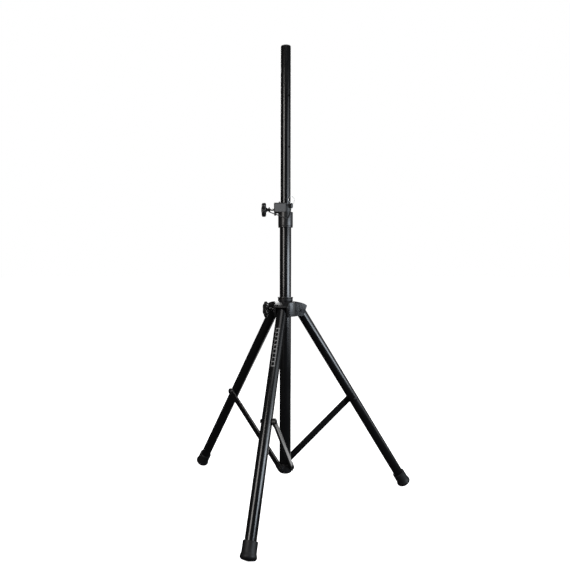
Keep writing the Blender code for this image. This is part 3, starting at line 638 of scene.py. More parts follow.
def swept(path, outline_radius, around, ring_scale=None, closed=False):
    """A tube along points, with turn-minimising frames; ring_scale(length, turn) shapes its skin."""
    points = [Vector(p) for p in path]
    count = len(points)
    rows = []
    side = None
    travelled = 0.0
    for index, point in enumerate(points):
        before = points[index - 1] if index or closed else point
        after = points[(index + 1) % count] if index < count - 1 or closed else point
        direction = (after - before).normalized()
        if side is None:
            side = direction.orthogonal()
        side = (side - direction * side.dot(direction)).normalized()
        up = direction.cross(side)
        if index:
            travelled += (point - points[index - 1]).length
        row = []
        for step in range(around):
            turn = 2 * math.pi * step / around
            radius = outline_radius * (ring_scale(travelled, turn) if ring_scale else 1.0)
            row.append(point + radius * (math.cos(turn) * side + math.sin(turn) * up))
        rows.append(row)
    return skinned(rows, closed)


def smooth_object(name, mesh, finish):
    made = bpy.data.objects.new(name, mesh)
    bpy.context.scene.collection.objects.link(made)
    mesh.materials.clear()
    mesh.materials.append(finish)
    mesh.shade_smooth()
    return made


def piece(node, mesh, place=None, name=None, finish=None, stands_for=True):
    """The mesh, moved to its place, as a visible piece on a node's body and in its finish."""
    if place is not None:
        mesh.transform(place)
    made = smooth_object(name or "fine_" + node, mesh, finish or FINISHES[SLOT_OF[node]])
    mesh.set_sharp_from_angle(angle=SHARP_ANGLE)
    if stands_for:
        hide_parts(node)
    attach(made, BODY_OF[node])
    return made


# ---- camera and light


CAMERA_AZIMUTH = math.radians(12.68)
CAMERA_DISTANCE = 2.029
CAMERA_HEIGHT = 0.837
CAMERA_PITCH = math.radians(1.6)
CAMERA_TURN = math.radians(3.4)
CAMERA_LENS = 36.56
CAMERA_SHIFT = (0.0596, -0.0141)


def from_camera_side(angle, distance, height):
    """A point round the pole, its angle in degrees counted to the right of the camera."""
    azimuth = CAMERA_AZIMUTH + math.radians(angle)
    return AXIS + Vector((distance * math.sin(azimuth), -distance * math.cos(azimuth), height))


def make_camera():
    data = bpy.data.cameras.new("camera")
    data.lens = CAMERA_LENS
    data.sensor_width = 36.0
    data.shift_x, data.shift_y = CAMERA_SHIFT
    camera = bpy.data.objects.new("camera", data)
    bpy.context.scene.collection.objects.link(camera)
    camera.location = from_camera_side(0.0, CAMERA_DISTANCE, CAMERA_HEIGHT)
    camera.rotation_euler = (math.pi / 2 - CAMERA_PITCH, 0.0, CAMERA_AZIMUTH + CAMERA_TURN)
    bpy.context.scene.camera = camera


def softbox(name, angle, distance, height, width, tall, power, color):
    data = bpy.data.lights.new(name, "AREA")
    data.shape = "RECTANGLE"
    data.size = width
    data.size_y = tall
    data.energy = power
    data.color = color
    lamp = bpy.data.objects.new(name, data)
    bpy.context.scene.collection.objects.link(lamp)
    lamp.location = from_camera_side(angle, distance, height)
    aim = AXIS + Vector((0.0, 0.0, 0.8)) - lamp.location
    lamp.rotation_euler = aim.to_track_quat("-Z", "Y").to_euler()
    lamp.visible_camera = False


def make_lights():
    softbox("window_left", -38.0, 2.4, 1.5, 0.75, 1.6, 30.0, (1.0, 0.97, 0.94))
    softbox("window_right", 60.0, 2.4, 0.86, 1.7, 0.62, 38.0, (0.82, 0.91, 1.0))
    softbox("window_right_high", 60.0, 2.4, 1.63, 1.7, 0.92, 10.0, (0.86, 0.93, 1.0))
    softbox("wash_right", 95.0, 2.4, 0.9, 1.2, 1.6, 7.0, (0.94, 0.97, 1.0))
    softbox("bounce_low", 154.0, 0.65, 0.05, 0.6, 0.4, 0.7, (1.0, 1.0, 1.0))
    softbox("back_fill", 183.0, 2.2, 1.9, 0.9, 1.6, 26.0, (1.0, 1.0, 1.0))
    softbox("top_fill", 10.0, 1.2, 3.2, 1.6, 1.6, 15.0, (1.0, 1.0, 1.0))


def make_world():
    """White behind the stand, and a dim room for what its surfaces reflect."""
    world = bpy.data.worlds.new("studio")
    bpy.context.scene.world = world
    world.use_nodes = True
    nodes = world.node_tree.nodes
    links = world.node_tree.links
    room = nodes["Background"]
    room.inputs["Color"].default_value = (1.0, 1.0, 1.0, 1.0)
    room.inputs["Strength"].default_value = 0.03
    seen = nodes.new("ShaderNodeBackground")
    seen.inputs["Color"].default_value = (1.0, 1.0, 1.0, 1.0)
    seen.inputs["Strength"].default_value = 1.0
    ray = nodes.new("ShaderNodeLightPath")
    choice = nodes.new("ShaderNodeMixShader")
    links.new(ray.outputs["Is Camera Ray"], choice.inputs["Fac"])
    links.new(room.outputs["Background"], choice.inputs[1])
    links.new(seen.outputs["Background"], choice.inputs[2])
    links.new(choice.outputs["Shader"], nodes["World Output"].inputs["Surface"])


def make_floor():
    """A white floor that runs into the background, and that no surface reflects."""
    made, shader = new_material("studio_floor", (0.86, 0.86, 0.86), 0.9)
    shader.inputs["Emission Color"].default_value = (1.0, 1.0, 1.0, 1.0)
    shader.inputs["Emission Strength"].default_value = 1.0
    grain = noise(made, coordinates(made), 90.0, 3.0)
    bumped(made, shader, grain, 0.0002, 0.2)
    shape = bmesh.new()
    bmesh.ops.create_circle(shape, cap_ends=True, segments=128, radius=30.0)
    floor = bpy.data.objects.new("studio_floor", finished(shape))
    bpy.context.scene.collection.objects.link(floor)
    floor.data.materials.append(made)
    floor.location = (AXIS.x, AXIS.y, -0.0004)
    floor.visible_glossy = False
    floor.visible_diffuse = False


# ---- lanyard


def between(p, q, r, s, t):
    """The Catmull-Rom value from q to r, at t from 0 to 1."""
    square = (2 * p - 5 * q + 4 * r - s) * t * t
    cube = (3 * q - p - 3 * r + s) * t * t * t
    return 0.5 * (2 * q + (r - p) * t + square + cube)


def smooth_route(points, steps):
    """Points along a Catmull-Rom curve through the route's own points."""
    ends = [points[0], *points, points[-1]]
    fine = []
    for a, b, c, d in zip(ends, ends[1:], ends[2:], ends[3:]):
        for step in range(steps):
            fine.append(tuple(between(*four, step / steps) for four in zip(a, b, c, d)))
    fine.append(tuple(points[-1]))
    return fine


def even_path(points, spacing):
    """Points at equal steps along a polyline, both ends kept."""
    lengths = [math.dist(a, b) for a, b in zip(points, points[1:])]
    total = sum(lengths)
    count = max(2, round(total / spacing))
    made = [tuple(points[0])]
    index, passed = 0, 0.0
    for step in range(1, count):
        wanted = total * step / count
        while passed + lengths[index] < wanted:
            passed += lengths[index]
            index += 1
        share = (wanted - passed) / lengths[index]
        made.append(tuple(Vector(points[index]).lerp(Vector(points[index + 1]), share)))
    made.append(tuple(points[-1]))
    return made, total


def braid(travelled, turn):
    """Eight strands each way, crossing at equal lengths along the cord."""
    twist = travelled * 2 * math.pi / CORD_BRAID_PITCH
    one = abs(math.sin(4 * (turn + twist)))
    other = abs(math.sin(4 * (turn - twist)))
    return 0.90 + 0.10 * max(one, other)


def make_lanyard():
    collar = round_pole(COLLAR_AZIMUTH)
    fine = smooth_route(CORD_ROUTE, 24)
    path, length = even_path([collar @ Vector(point) for point in fine], CORD_STEP)
    lanyard = piece_to_bend("lanyard", swept(path, CORD_RADIUS, 32, braid))
    loop_path = []
    for step in range(CORD_LOOP_STEPS):
        turn = 2 * math.pi * step / CORD_LOOP_STEPS
        across = CORD_LOOP_RADIUS * math.cos(turn)
        height = COLLAR_SCREW_HEIGHT + CORD_LOOP_RADIUS * math.sin(turn)
        loop_path.append(collar @ Vector((CORD_LOOP_REACH, across, height)))
    loop = piece("lanyard_loop", swept(loop_path, CORD_RADIUS, 32, braid, closed=True))
    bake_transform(lanyard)


def piece_to_bend(node, mesh):
    """Like piece(), but without a place, sharp edges or a body."""
    made = smooth_object("fine_" + node, mesh, FINISHES[SLOT_OF[node]])
    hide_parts(node)
    return made


# ---- fasteners


def bolt(shank):
    """A button-head bolt on Z with a hexagon socket: shank below z = 0, head above."""
    dome = [
        (BOLT_HEAD_RADIUS * math.sin(a), BOLT_HEAD_HEIGHT * (0.35 + 0.65 * math.cos(a)))
        for a in (math.radians(turn) for turn in (24, 36, 48, 60, 70, 79, 86))
    ]
    profile = [(0.0, BOLT_HEAD_HEIGHT * 0.985), *dome]
    rest = [
        (BOLT_HEAD_RADIUS, BOLT_HEAD_HEIGHT * 0.28),
        (BOLT_HEAD_RADIUS, 0.0),
        (BOLT_RADIUS, 0.0),
        (BOLT_RADIUS, -shank),
        (0.0, -shank),
    ]
    profile += softened([dome[-1], *rest], 0.0003)[1:]
    head = turned(profile)
    socket = plate(arc((0, 0), 0.0025, 0, 300, 5), BOLT_HEAD_HEIGHT * 0.45, BOLT_HEAD_HEIGHT * 2, 0)
    return cut(head, socket)


def nut():
    """A hexagon nut on Z, chamfered at both faces, with its bore."""
    blank = plate(arc((0, 0), NUT_RADIUS, 0, 300, 5), 0.0, NUT_HEIGHT, 0.0)
    crown = NUT_RADIUS * 0.90
    profile = [
        (0.0, NUT_HEIGHT),
        (crown, NUT_HEIGHT),
        (NUT_RADIUS + 0.0002, NUT_HEIGHT - 0.0009),
        (NUT_RADIUS + 0.0002, 0.0009),
        (crown, 0.0),
        (0.0, 0.0),
    ]
    chamfered = combined(blank, "INTERSECT", turned(profile))
    return cut(chamfered, placed(drill(BOLT_HOLE_RADIUS, 0.02), shift(z=-0.005)))


def threaded(length):
    """A screw along Z with a real helical thread and a rounded tip."""
    count = round(length / THREAD_PITCH * THREAD_ROWS_PER_TURN)
    rows = []
    for index in range(count + 1):
        height = length * index / count
        fade = min(1.0, height / THREAD_TIP, (length - height) / THREAD_TIP)
        row = []
        for step in range(THREAD_STEPS):
            phase = (height / THREAD_PITCH - step / THREAD_STEPS) % 1.0
            ridge = abs(2 * phase - 1)
            radius = SCREW_RADIUS - THREAD_DEPTH * ridge - THREAD_TIP_DROP * (1 - fade)
            turn = 2 * math.pi * step / THREAD_STEPS
            row.append((radius * math.cos(turn), radius * math.sin(turn), height))
        rows.append(row)
    return skinned(rows)


# ---- column and mast


def make_column():
    low, high = low_z("main_tube"), high_z("main_tube")
    inner = MAIN_RADIUS - MAIN_WALL
    piece("main_tube", tube(inner, MAIN_RADIUS, low, high), round_pole())
    plug_low, plug_high = low_z("tube_foot_plug"), high_z("tube_foot_plug")
    lip = low - GAP
    profile = [
        (0.0, plug_high),
        (inner - GAP, plug_high),
        (inner - GAP, lip),
        (MAIN_RADIUS - GAP, lip),
        (MAIN_RADIUS - GAP, plug_low),
        (0.0130, plug_low),
        (0.0115, plug_low + 0.0009),
        (0.0, plug_low + 0.0009),
    ]
    piece("tube_foot_plug", turned(softened(profile)), round_pole())


def make_bottom_bracket():
    low, high = low_z("bottom_bracket"), high_z("bottom_bracket")
    body = rod(BRACKET_RADIUS, low, high, ROUND, 0.0012)
    pads = []
    holes = []
    for name in LEG_NAMES:
        at_bolt = turn_z(spoke(name)) @ shift(z=STRUT_LOWER_HEIGHT) @ TO_Y
        pad = rod(BRACKET_PAD_RADIUS, 0.0, STRUT_LOWER_EYE_FACE - GAP, ROUND, 0.0008)
        pads.append(placed(pad, at_bolt))
        holes.append(placed(drill(BOLT_HOLE_RADIUS, 0.05), at_bolt))
    bore = drill(MAIN_RADIUS + GAP, 1.0, ROUND)
    mesh = cut(join(body, *pads), bore, *holes)
    piece("bottom_bracket", mesh, round_pole())


def make_mast():
    low, high = low_z("upper_tube"), high_z("upper_tube")
    inner = MAST_RADIUS - MAST_WALL
    holes = []
    for index in range(PIN_HOLE_COUNT):
        height = PIN_HOLE_TOP - index * PIN_HOLE_SPACING
        place = turn_z(PIN_AZIMUTH) @ shift(-0.03, 0.0, height) @ TO_X
        holes.append(placed(drill(PIN_HOLE_RADIUS, 0.06), place))
    mesh = cut(tube(inner, MAST_RADIUS, low, high), *holes)
    piece("upper_tube", mesh, round_pole())
    top = high_z("pole_end_cap")
    cap = [
        (0.0, top - 0.0012),
        (0.0085, top - 0.0012),
        (0.0095, top),
        (MAST_RADIUS - 0.0018, top),
        (MAST_RADIUS - 0.0004, top - 0.0014),
        (MAST_RADIUS - 0.0004, high + GAP),
        (inner - GAP, high + GAP),
        (inner - GAP, high - 0.018),
        (0.0, high - 0.018),
    ]
    piece("pole_end_cap", turned(softened(cap, 0.0005)), round_pole())
    shoulder = low - GAP
    bottom = low_z("mast_guide_bush")
    bush = [
        (inner - GAP, high_z("mast_guide_bush")),
        (inner - GAP, shoulder),
        (GUIDE_BUSH_RADIUS, shoulder),
        (GUIDE_BUSH_RADIUS, bottom),
        (GUIDE_BUSH_BORE, bottom),
        (GUIDE_BUSH_BORE, high_z("mast_guide_bush")),
    ]
    piece("mast_guide_bush", turned(softened(bush, closed=True), closed=True), round_pole())


# ---- collar, knobs and pin


def make_knob(node, screw_node, azimuth, height, stem_end):
    """A star knob on +X: fluted rim, domed face with a recessed ring, and a flared stem."""
    face = round_pole(azimuth, height)
    radius, inner, thickness = KNOB_SIZES[node]

    def star(reach, turn):
        weight = min(1.0, max(0.0, (reach - 0.45 * radius) / (0.45 * radius)))
        weight = weight * weight * (3 - 2 * weight)
        return reach * (1 - 0.10 * weight * (1 - math.cos(KNOB_LOBES * turn)))

    outer = inner + thickness
    profile = [
        (0.0, outer),
        (0.30 * radius, outer - 0.0002),
        (0.38 * radius, outer - 0.0010),
        (0.42 * radius, outer - 0.0026),
        (0.50 * radius, outer - 0.0028),
        (0.56 * radius, outer - 0.0014),
        (0.80 * radius, outer - 0.0016),
        (0.93 * radius, outer - 0.0028),
        (radius, outer - 0.0056),
        (radius, inner + 0.0044),
        (0.94 * radius, inner + 0.0018),
        (0.82 * radius, inner + 0.0004),
        (0.46 * radius, inner),
        (KNOB_STEM_RADIUS + 0.0030, inner - 0.0004),
        (KNOB_STEM_RADIUS + 0.0008, inner - 0.0022),
        (KNOB_STEM_RADIUS, inner - 0.0046),
        (KNOB_STEM_RADIUS, stem_end),
        (SCREW_HOLE_RADIUS, stem_end),
        (SCREW_HOLE_RADIUS, stem_end + 0.011),
        (0.0, stem_end + 0.011),
    ]
    mesh = turned(softened(profile, 0.0012, 5), 144, lobes=star)
    piece(node, mesh, face @ TO_X)
    low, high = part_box(screw_node)
    middle = (low + high) / 2 - AXIS
    reach = math.hypot(middle.x, middle.y)
    tip_length = screw_length(screw_node, azimuth)
    start = reach - tip_length / 2
    piece(screw_node, threaded(tip_length), face @ shift(start) @ TO_X)


def screw_length(node, azimuth):
    """A round bar's length along a level azimuth, from its box."""
    low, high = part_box(node)
    across = 2 * SCREW_RADIUS * abs(math.sin(azimuth))
    return (high.x - low.x - across) / abs(math.cos(azimuth))


def make_shoe(node, azimuth, height, tube_radius):
    place = round_pole(azimuth, height) @ shift(tube_radius + 2 * GAP) @ TO_X
    piece(node, rod(SHOE_RADIUS, 0.0, SHOE_THICKNESS, edge=0.0004), place)


def make_painted_light_panel(side):
    """A pale nylon sheet on one side of the clamp block, painted light for the light its flat face
    catches.
    """
    face = side * COLLAR_BLOCK_HALF_WIDTH
    low = (COLLAR_BLOCK_BACK + 0.0035, face - 0.0002, COLLAR_BLOCK_BOTTOM + 0.0035)
    high = (COLLAR_BLOCK_REACH - 0.0035, face + 0.0002, COLLAR_BLOCK_TOP - 0.0035)
    name = "collar_painted_light_left" if side < 0 else "collar_painted_light_right"
    # The panel's pale colour is painted light, not the nylon's own colour.
    looks = {"name": name, "finish": FINISHES["painted_light_nylon"], "stands_for": False}
    piece("clamp_collar", block(low, high, 0.0001, 1), round_pole(COLLAR_AZIMUTH), **looks)


def make_collar():
    """The sleeve, the clamp block beside it, the upper wall and the boss for the pin."""
    bottom = low_z("clamp_collar")
    bush_top = high_z("collar_bush")
    sleeve_profile = [
        (0.0, COLLAR_SLEEVE_TOP),
        (COLLAR_RADIUS, COLLAR_SLEEVE_TOP),
        (COLLAR_RADIUS, bottom + 0.0062),
        (COLLAR_RADIUS - 0.0007, bottom + 0.0056),
        (COLLAR_RADIUS - 0.0007, bottom + 0.0046),
        (COLLAR_RADIUS, bottom + 0.0040),
        (COLLAR_RADIUS, bottom),
        (0.0, bottom),
    ]
    body = turned(softened(sleeve_profile, 0.0010))
    low = (COLLAR_BLOCK_BACK, -COLLAR_BLOCK_HALF_WIDTH, COLLAR_BLOCK_BOTTOM)
    high = (COLLAR_BLOCK_REACH, COLLAR_BLOCK_HALF_WIDTH, COLLAR_BLOCK_TOP)
    solids = [block(low, high, 0.0018, 4)]
    wall = rod(COLLAR_BUSH_RADIUS + 0.0032, 1.000, bush_top, ROUND, 0.0008)
    open_side = block((-0.05, -0.05, COLLAR_SLEEVE_TOP), (0.0, 0.0125, 1.05), 0.0)
    solids.append(cut(wall, open_side))
    to_pin = turn_z(PIN_AZIMUTH - COLLAR_AZIMUTH) @ shift(z=PIN_HEIGHT) @ TO_X
    solids.append(placed(rod(PIN_BOSS_RADIUS, 0.0, PIN_BOSS_END, edge=0.0006), to_pin))
    solids.append(block(*COLLAR_NUB, 0.0010))
    solids.append(block(*COLLAR_LUG, 0.0010))
    body = join(body, *solids)
    bore_profile = [
        (0.0, 1.10),
        (MAST_RADIUS + 0.0005, 1.10),
        (MAST_RADIUS + 0.0005, bush_top + GAP),
        (COLLAR_BUSH_RADIUS + GAP, bush_top + GAP),
        (COLLAR_BUSH_RADIUS + GAP, high_z("main_tube") + GAP),
        (MAIN_RADIUS + GAP, high_z("main_tube") + GAP),
        (MAIN_RADIUS + GAP, 0.90),
        (0.0, 0.90),
    ]
    at_screw = shift(z=COLLAR_SCREW_HEIGHT) @ TO_X
    pocket_length = MAST_RADIUS + SHOE_THICKNESS + 3 * GAP
    body = cut(
        body,
        turned(bore_profile),
        placed(drill(SCREW_HOLE_RADIUS, 0.05), at_screw),
        placed(drill(SHOE_RADIUS + GAP, pocket_length), at_screw),
        placed(drill(PIN_RADIUS + GAP, 0.05), to_pin),
    )
    piece("clamp_collar", body, round_pole(COLLAR_AZIMUTH))
    for side in (-1, 1):
        make_painted_light_panel(side)

    liner = tube(MAST_RADIUS + GAP, COLLAR_BUSH_RADIUS, low_z("collar_bush"), bush_top)
    notch = block(
        (0.0, -PIN_RADIUS - GAP, PIN_HEIGHT - PIN_RADIUS - GAP), (0.04, PIN_RADIUS + GAP, 1.1), 0.0
    )
    turn = turn_z(PIN_AZIMUTH - COLLAR_AZIMUTH)
    liner = cut(liner, placed(drill(SHOE_RADIUS + GAP, 0.04), at_screw), placed(notch, turn))
    piece("collar_bush", liner, round_pole(COLLAR_AZIMUTH))


def make_pin():
    place = round_pole(PIN_AZIMUTH, PIN_HEIGHT)
    end = PIN_HEAD_INNER + 0.005
    profile = [(0.0, end), (PIN_RADIUS, end), (PIN_RADIUS, PIN_TIP + 0.0012)]
    profile += [(0.0016, PIN_TIP), (0.0, PIN_TIP)]
    piece("safety_pin", turned(softened(profile, 0.0004), SMALL_ROUND), place @ TO_X)

    depth = PIN_HEAD_OUTER - PIN_HEAD_INNER
    middle = (PIN_HEAD_INNER + PIN_HEAD_OUTER) / 2
    head = plate(stadium(0.018, 0.008), -depth / 2, depth / 2, 0.0012, 4)
    head = placed(head, shift(middle) @ TO_X)
    socket = placed(drill(PIN_RADIUS + GAP, 0.0065), shift(PIN_HEAD_INNER - 0.001) @ TO_X)
    eye = placed(drill(PIN_EYE_RADIUS, 0.02), shift(middle, -0.01, PIN_RING_HEIGHT - PIN_HEIGHT) @ TO_Y)
    piece("pin_head", cut(head, socket, eye), place)

    path = []
    for step in range(PIN_RING_STEPS + 1):
        share = step / PIN_RING_STEPS
        turn = 2 * math.pi * PIN_RING_TURNS * step / PIN_RING_STEPS
        side = (share - 0.5) * 2 * PIN_RING_WIRE
        path.append((side, PIN_RING_RADIUS * math.sin(turn), PIN_RING_RADIUS * math.cos(turn)))
    ring_place = round_pole(PIN_AZIMUTH) @ shift(middle, 0.0, PIN_RING_HEIGHT + PIN_RING_RADIUS)
    piece("pin_ring", swept(path, PIN_RING_WIRE, 14), ring_place)


# ---- hub


def hub_arm_outline(bottom):
    """An arm from the side: radius outward, height up."""
    corners = [
        (0.0300, bottom),
        (HUB_ARM_FOOT, bottom),
        (HUB_ARM_REACH, bottom + 0.0370),
        (0.0640, bottom + 0.0425),
        (0.0530, bottom + 0.0468),
        (0.0420, bottom + 0.0495),
        (0.0300, bottom + 0.0510),
    ]
    return softened(corners, 0.0022, 4)


def hub_slot_outline(bottom):
    corners = [
        (0.0305, bottom - 0.01),
        (0.0900, bottom - 0.01),
        (0.0900, bottom + 0.0180),
        (0.0760, bottom + 0.0290),
        (0.0660, bottom + 0.0375),
        (0.0560, bottom + 0.0408),
        (0.0305, bottom + 0.0410),
    ]
    return softened(corners, 0.0025, 4, closed=True)


def make_hub():
    bottom = low_z("hub_bush")
    drum = [
        (0.0, HUB_TOP),
        (HUB_FLANGE_RADIUS, HUB_TOP),
        (HUB_DRUM_RADIUS, bottom + 0.0488),
        (HUB_DRUM_RADIUS, bottom),
        (0.0, bottom),
    ]
    body = turned(softened(drum, 0.0012))
    solids = []
    holes = []
    for name in LEG_NAMES:
        turn = turn_z(spoke(name))
        width = HUB_ARM_HALF_WIDTH
        arm = plate(hub_arm_outline(bottom), -width, width, 0.0014, 4)
        solids.append(placed(arm, turn @ TO_MINUS_Y))
        for side in (-1, 1):
            facing = TO_Y if side > 0 else TO_MINUS_Y
            cheek = shift(LEG_PIVOT_REACH, side * (width - 0.0004), LEG_PIVOT_HEIGHT) @ facing
            rim = [(0.0112, 0.0012), (0.0112, 0.0), (0.0082, 0.0), (0.0082, 0.0012)]
            ring = turned(softened(rim, 0.0003, closed=True), SMALL_ROUND, closed=True)
            solids.append(placed(ring, turn @ cheek))
            for reach in HUB_RIB_REACHES:
                low = (reach - 0.0008, side * width - 0.0005, bottom + 0.004)
                high = (reach + 0.0008, side * width + 0.0005, bottom + 0.044)
                solids.append(placed(block(low, high, 0.0002, 2), turn))
        slot = plate(hub_slot_outline(bottom), -HUB_SLOT_HALF_WIDTH, HUB_SLOT_HALF_WIDTH, 0.0)
        holes.append(placed(slot, turn @ TO_MINUS_Y))
        at_pivot = shift(LEG_PIVOT_REACH, -0.04, LEG_PIVOT_HEIGHT) @ TO_Y
        holes.append(placed(drill(BOLT_HOLE_RADIUS, 0.08), turn @ at_pivot))
    screw = turn_z(HUB_SCREW_AZIMUTH) @ shift(z=HUB_SCREW_HEIGHT) @ TO_X
    solids.append(placed(rod(HUB_BOSS_RADIUS, 0.0, HUB_BOSS_END, ROUND, 0.0010), screw))
    holes.append(placed(drill(HUB_BUSH_RADIUS + GAP, 0.2, ROUND), shift(z=0.6)))
    holes.append(placed(drill(SHOE_RADIUS + GAP, MAIN_RADIUS + SHOE_THICKNESS + 3 * GAP), screw))
    holes.append(placed(drill(SCREW_HOLE_RADIUS, 0.06), screw))
    mesh = cut(join(body, *solids), *holes)
    piece("hub_body", mesh, round_pole())

    top = high_z("hub_bush")
    inner = MAIN_RADIUS + GAP
    profile = [
        (HUB_FLANGE_RADIUS, top),
        (HUB_FLANGE_RADIUS, top - 0.0036),
        (HUB_FLANGE_RADIUS - 0.0012, top - 0.0046),
        (HUB_FLANGE_RADIUS - 0.0012, HUB_FLANGE_BOTTOM),
        (HUB_BUSH_RADIUS, HUB_FLANGE_BOTTOM),
        (HUB_BUSH_RADIUS, bottom),
        (inner, bottom),
        (inner, top),
    ]
    liner = turned(softened(profile, 0.0009, closed=True), closed=True)
    window = placed(drill(SHOE_RADIUS + GAP, 0.04), screw)
    piece("hub_bush", cut(liner, window), round_pole())


# ---- legs and struts


def foot_profile():
    """(radius, distance towards the tip) down a rubber foot."""
    corner_middle = (FOOT_BULGE_RADIUS - FOOT_CORNER_RADIUS, FOOT_SLEEVE_LENGTH + 0.0065)
    profile = [(FOOT_SLEEVE_RADIUS - 0.0010, 0.0), (FOOT_SLEEVE_RADIUS, 0.0012)]
    profile.append((FOOT_SLEEVE_RADIUS, FOOT_SLEEVE_LENGTH - 0.004))
    profile.append((FOOT_SLEEVE_RADIUS + 0.0004, FOOT_SLEEVE_LENGTH - 0.0015))
    profile.append((FOOT_BULGE_RADIUS - 0.0008, FOOT_SLEEVE_LENGTH + 0.0025))
    profile += arc(corner_middle, FOOT_CORNER_RADIUS, 0, 76, 14)
    profile.append((0.0, profile[-1][1] + FOOT_DOME_RISE))
    return profile


def foot_mouth():
    """How far down the leg a foot's mouth is, so that its end meets the floor."""
    reach = max(
        along * math.cos(LEG_TILT) + radius * math.sin(LEG_TILT) for radius, along in foot_profile()
    )
    return (LEG_PIVOT_HEIGHT + FOOT_FLAT_DEPTH - reach) / math.cos(LEG_TILT)


def make_foot(name):
    mouth = foot_mouth()
    end = mouth + FOOT_TUBE_INSET
    outer = [(radius, -(mouth + along)) for radius, along in foot_profile()]
    inner = [(0.0, -end), (LEG_RADIUS + GAP, -end), (LEG_RADIUS + GAP, -mouth)]
    mesh = welded(turned(outer + inner + [outer[0]]))
    ground = block((-1.0, -1.0, -0.1), (1.0, 1.0, 0.0), 0.0)
    mesh = cut(placed(mesh, along_leg(name)), ground)
    piece("rubber_foot_" + name, mesh)
    return end - GAP


def welded(mesh):
    shape = bmesh.new()
    shape.from_mesh(mesh)
    bmesh.ops.remove_doubles(shape, verts=shape.verts, dist=WELD_DISTANCE)
    shape.to_mesh(mesh)
    shape.free()
    return mesh


def make_leg(name):
    place = along_leg(name)
    end = make_foot(name)
    inner = LEG_RADIUS - LEG_WALL
    holes = []
    for height in (0.0, -STRUT_JOINT_ON_LEG):
        holes.append(placed(drill(BOLT_HOLE_RADIUS, 0.06), shift(0.0, -0.03, height) @ TO_Y))
    pivot_hole = holes[0].copy()
    mesh = cut(tube(inner, LEG_RADIUS, -end, LEG_TOP_END), *holes)
    piece("leg_tube_" + name, mesh, place)
    top = LEG_TOP_END
    profile = [
        (0.0, top + 0.0022),
        (LEG_RADIUS - 0.0024, top + 0.0022),
        (LEG_RADIUS - 0.0006, top + 0.0010),
        (LEG_RADIUS - 0.0006, top + GAP),
        (inner - GAP, top + GAP),
        (inner - GAP, top - 0.034),
        (0.0, top - 0.034),
    ]
    plug = cut(turned(softened(profile, 0.0006)), pivot_hole)
    piece("leg_top_plug_" + name, plug, place)


def make_leg_pivot(name):
    face = HUB_ARM_HALF_WIDTH + GAP
    round_hub = round_pole(spoke(name), LEG_PIVOT_HEIGHT)
    place = round_hub @ shift(LEG_PIVOT_REACH, face)
    piece("leg_bolt_" + name, bolt(2 * face + 0.0045), place @ TO_Y)
    place = round_hub @ shift(LEG_PIVOT_REACH, -face - NUT_HEIGHT)
    piece("leg_nut_" + name, nut(), place @ TO_Y)


def strut_sections(length, start):
    """Outlines of the flattened tube, its two ends slightly coined, outer then inner."""
    outer = stadium(STRUT_WIDTH, STRUT_THICKNESS)
    inner = stadium(STRUT_WIDTH - 2 * STRUT_WALL, STRUT_THICKNESS - 2 * STRUT_WALL)
    edge = 0.0003
    rim = stadium(STRUT_WIDTH - 2 * edge, STRUT_THICKNESS - 2 * edge)
    low, high = start, start + length
    return [
        (inner, low),
        (rim, low),
        (outer, low + edge),
        (outer, high - edge),
        (rim, high),
        (inner, high),
    ]


def make_strut_end(name, strut_name, along, turn, low, high, neck):
    radius = STRUT_WIDTH / 2
    rim = arc((0.0, 0.0), radius, 90, 270, 48) + [(neck - GAP, -radius), (neck - GAP, radius)]
    eye = plate(rim, low - (low + high) / 2, high - (low + high) / 2, 0.0007)
    facing = Matrix.Rotation(turn, 4, "Y") @ TO_MINUS_Y
    across = (low + high) / 2
    body = placed(eye, shift(0.0, across, along) @ facing)
    half_width = STRUT_WIDTH / 2 - STRUT_THICKNESS / 2
    half_depth = STRUT_THICKNESS / 2 - STRUT_WALL - GAP
    tongue = block(
        (neck - 0.0015, -half_width, -half_depth), (neck + 0.016, half_width, half_depth), 0.0004
    )
    tongue = placed(tongue, shift(0.0, STRUT_OFFSET, along) @ facing)
    hole = placed(drill(BOLT_HOLE_RADIUS, 0.04), shift(0.0, across - 0.02, along) @ TO_Y)
    piece(name, cut(join(body, tongue), hole), along_strut(strut_name))


def make_strut(name):
    length = STRUT_LENGTH - STRUT_LOWER_NECK - STRUT_UPPER_NECK
    tube_mesh = loft(strut_sections(length, STRUT_LOWER_NECK), closed=True)
    piece("strut_tube_" + name, tube_mesh, along_strut(name) @ shift(y=STRUT_OFFSET))
    near = STRUT_OFFSET - STRUT_THICKNESS / 2
    far = STRUT_OFFSET + STRUT_THICKNESS / 2
    upper, lower = "strut_upper_end_" + name, "strut_lower_end_" + name
    make_strut_end(upper, name, STRUT_LENGTH, math.pi / 2, near, far, STRUT_UPPER_NECK)
    make_strut_end(lower, name, 0.0, -math.pi / 2, STRUT_LOWER_EYE_FACE, far, STRUT_LOWER_NECK)


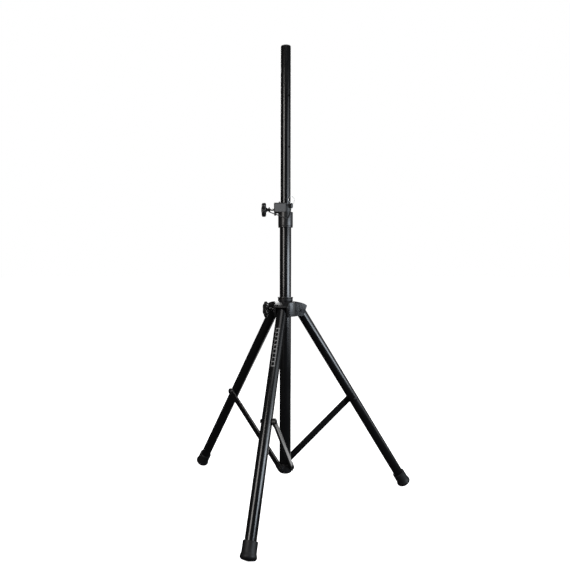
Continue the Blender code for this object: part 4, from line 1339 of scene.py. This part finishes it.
def make_strut_bolts(name):
    outer_face = STRUT_OFFSET + STRUT_THICKNESS / 2 + GAP
    lower = round_pole(spoke(name), STRUT_LOWER_HEIGHT) @ shift(0.0, outer_face) @ TO_Y
    shank = outer_face - (MAIN_RADIUS + 2 * GAP)
    piece("strut_bolt_" + name, bolt(shank), lower)
    inner_face = STRUT_OFFSET - STRUT_THICKNESS / 2
    upper = along_strut(name) @ shift(0.0, outer_face, STRUT_LENGTH) @ TO_Y
    piece("strut_cap_bolt_" + name, bolt(outer_face - inner_face - GAP), upper)
    leg_face = LEG_RADIUS + GAP
    spacer_face = inner_face - GAP
    at_joint = along_leg(name) @ shift(0.0, leg_face, -STRUT_JOINT_ON_LEG) @ TO_Y
    spacer = tube(BOLT_HOLE_RADIUS, 0.0100, 0.0, spacer_face - leg_face, SMALL_ROUND)
    piece("strut_spacer_" + name, spacer, at_joint)
    far_side = along_leg(name) @ shift(0.0, -leg_face, -STRUT_JOINT_ON_LEG) @ TO_MINUS_Y
    piece("leg_joint_bolt_" + name, bolt(leg_face + spacer_face - GAP), far_side)


# ---- print on the front leg


LABEL_START = 0.070
LABEL_END = 0.2065
LABEL_ANGLE = -6.0
LABEL_HALF_SPAN = 20.0
LABEL_BAR_SPAN = 5.0
LABEL_BAR = 0.003
LABEL_WINDOWS = 9


def make_label():
    """Plain ruled bars in place of lettering, thin patches that follow the tube's surface."""
    shape = bmesh.new()
    skin = LEG_RADIUS + 0.00012
    inside = LABEL_HALF_SPAN - LABEL_BAR_SPAN
    bars = [(-LABEL_HALF_SPAN, -inside), (inside, LABEL_HALF_SPAN)]
    spans = [(low, high, LABEL_START, LABEL_END) for low, high in bars]
    pitch = (LABEL_END - LABEL_START - LABEL_BAR) / LABEL_WINDOWS
    for index in range(LABEL_WINDOWS + 1):
        start = LABEL_START + index * pitch
        spans.append((-inside, inside, start, start + LABEL_BAR))
    for low, high, start, end in spans:
        steps = max(2, round((high - low) / 2.5))
        rows = []
        for step in range(steps + 1):
            angle = math.radians(LABEL_ANGLE + low + (high - low) * step / steps)
            x, y = skin * math.cos(angle), skin * math.sin(angle)
            rows.append([shape.verts.new((x, y, -start)), shape.verts.new((x, y, -end))])
        for first, second in zip(rows, rows[1:]):
            shape.faces.new((first[0], first[1], second[1], second[0]))
    looks = {"name": "front_leg_print", "finish": label_ink(), "stands_for": False}
    piece("leg_tube_front", finished(shape), along_leg("front"), **looks)


# ---- the whole stand


make_camera()
make_lanyard()
make_world()
make_lights()
make_floor()
make_column()
make_bottom_bracket()
make_mast()
make_collar()
make_pin()
make_shoe("collar_shoe", COLLAR_AZIMUTH, COLLAR_SCREW_HEIGHT, MAST_RADIUS)
make_knob("collar_knob", "collar_knob_screw", COLLAR_AZIMUTH, COLLAR_SCREW_HEIGHT, COLLAR_STEM_END)
make_hub()
make_shoe("hub_shoe", HUB_SCREW_AZIMUTH, HUB_SCREW_HEIGHT, MAIN_RADIUS)
make_knob("hub_knob", "hub_knob_screw", HUB_SCREW_AZIMUTH, HUB_SCREW_HEIGHT, HUB_STEM_END)
for leg in LEG_NAMES:
    make_leg_pivot(leg)
    make_leg(leg)
    make_strut(leg)
    make_strut_bolts(leg)
make_label()

bpy.context.scene.view_settings.view_transform = "Standard"
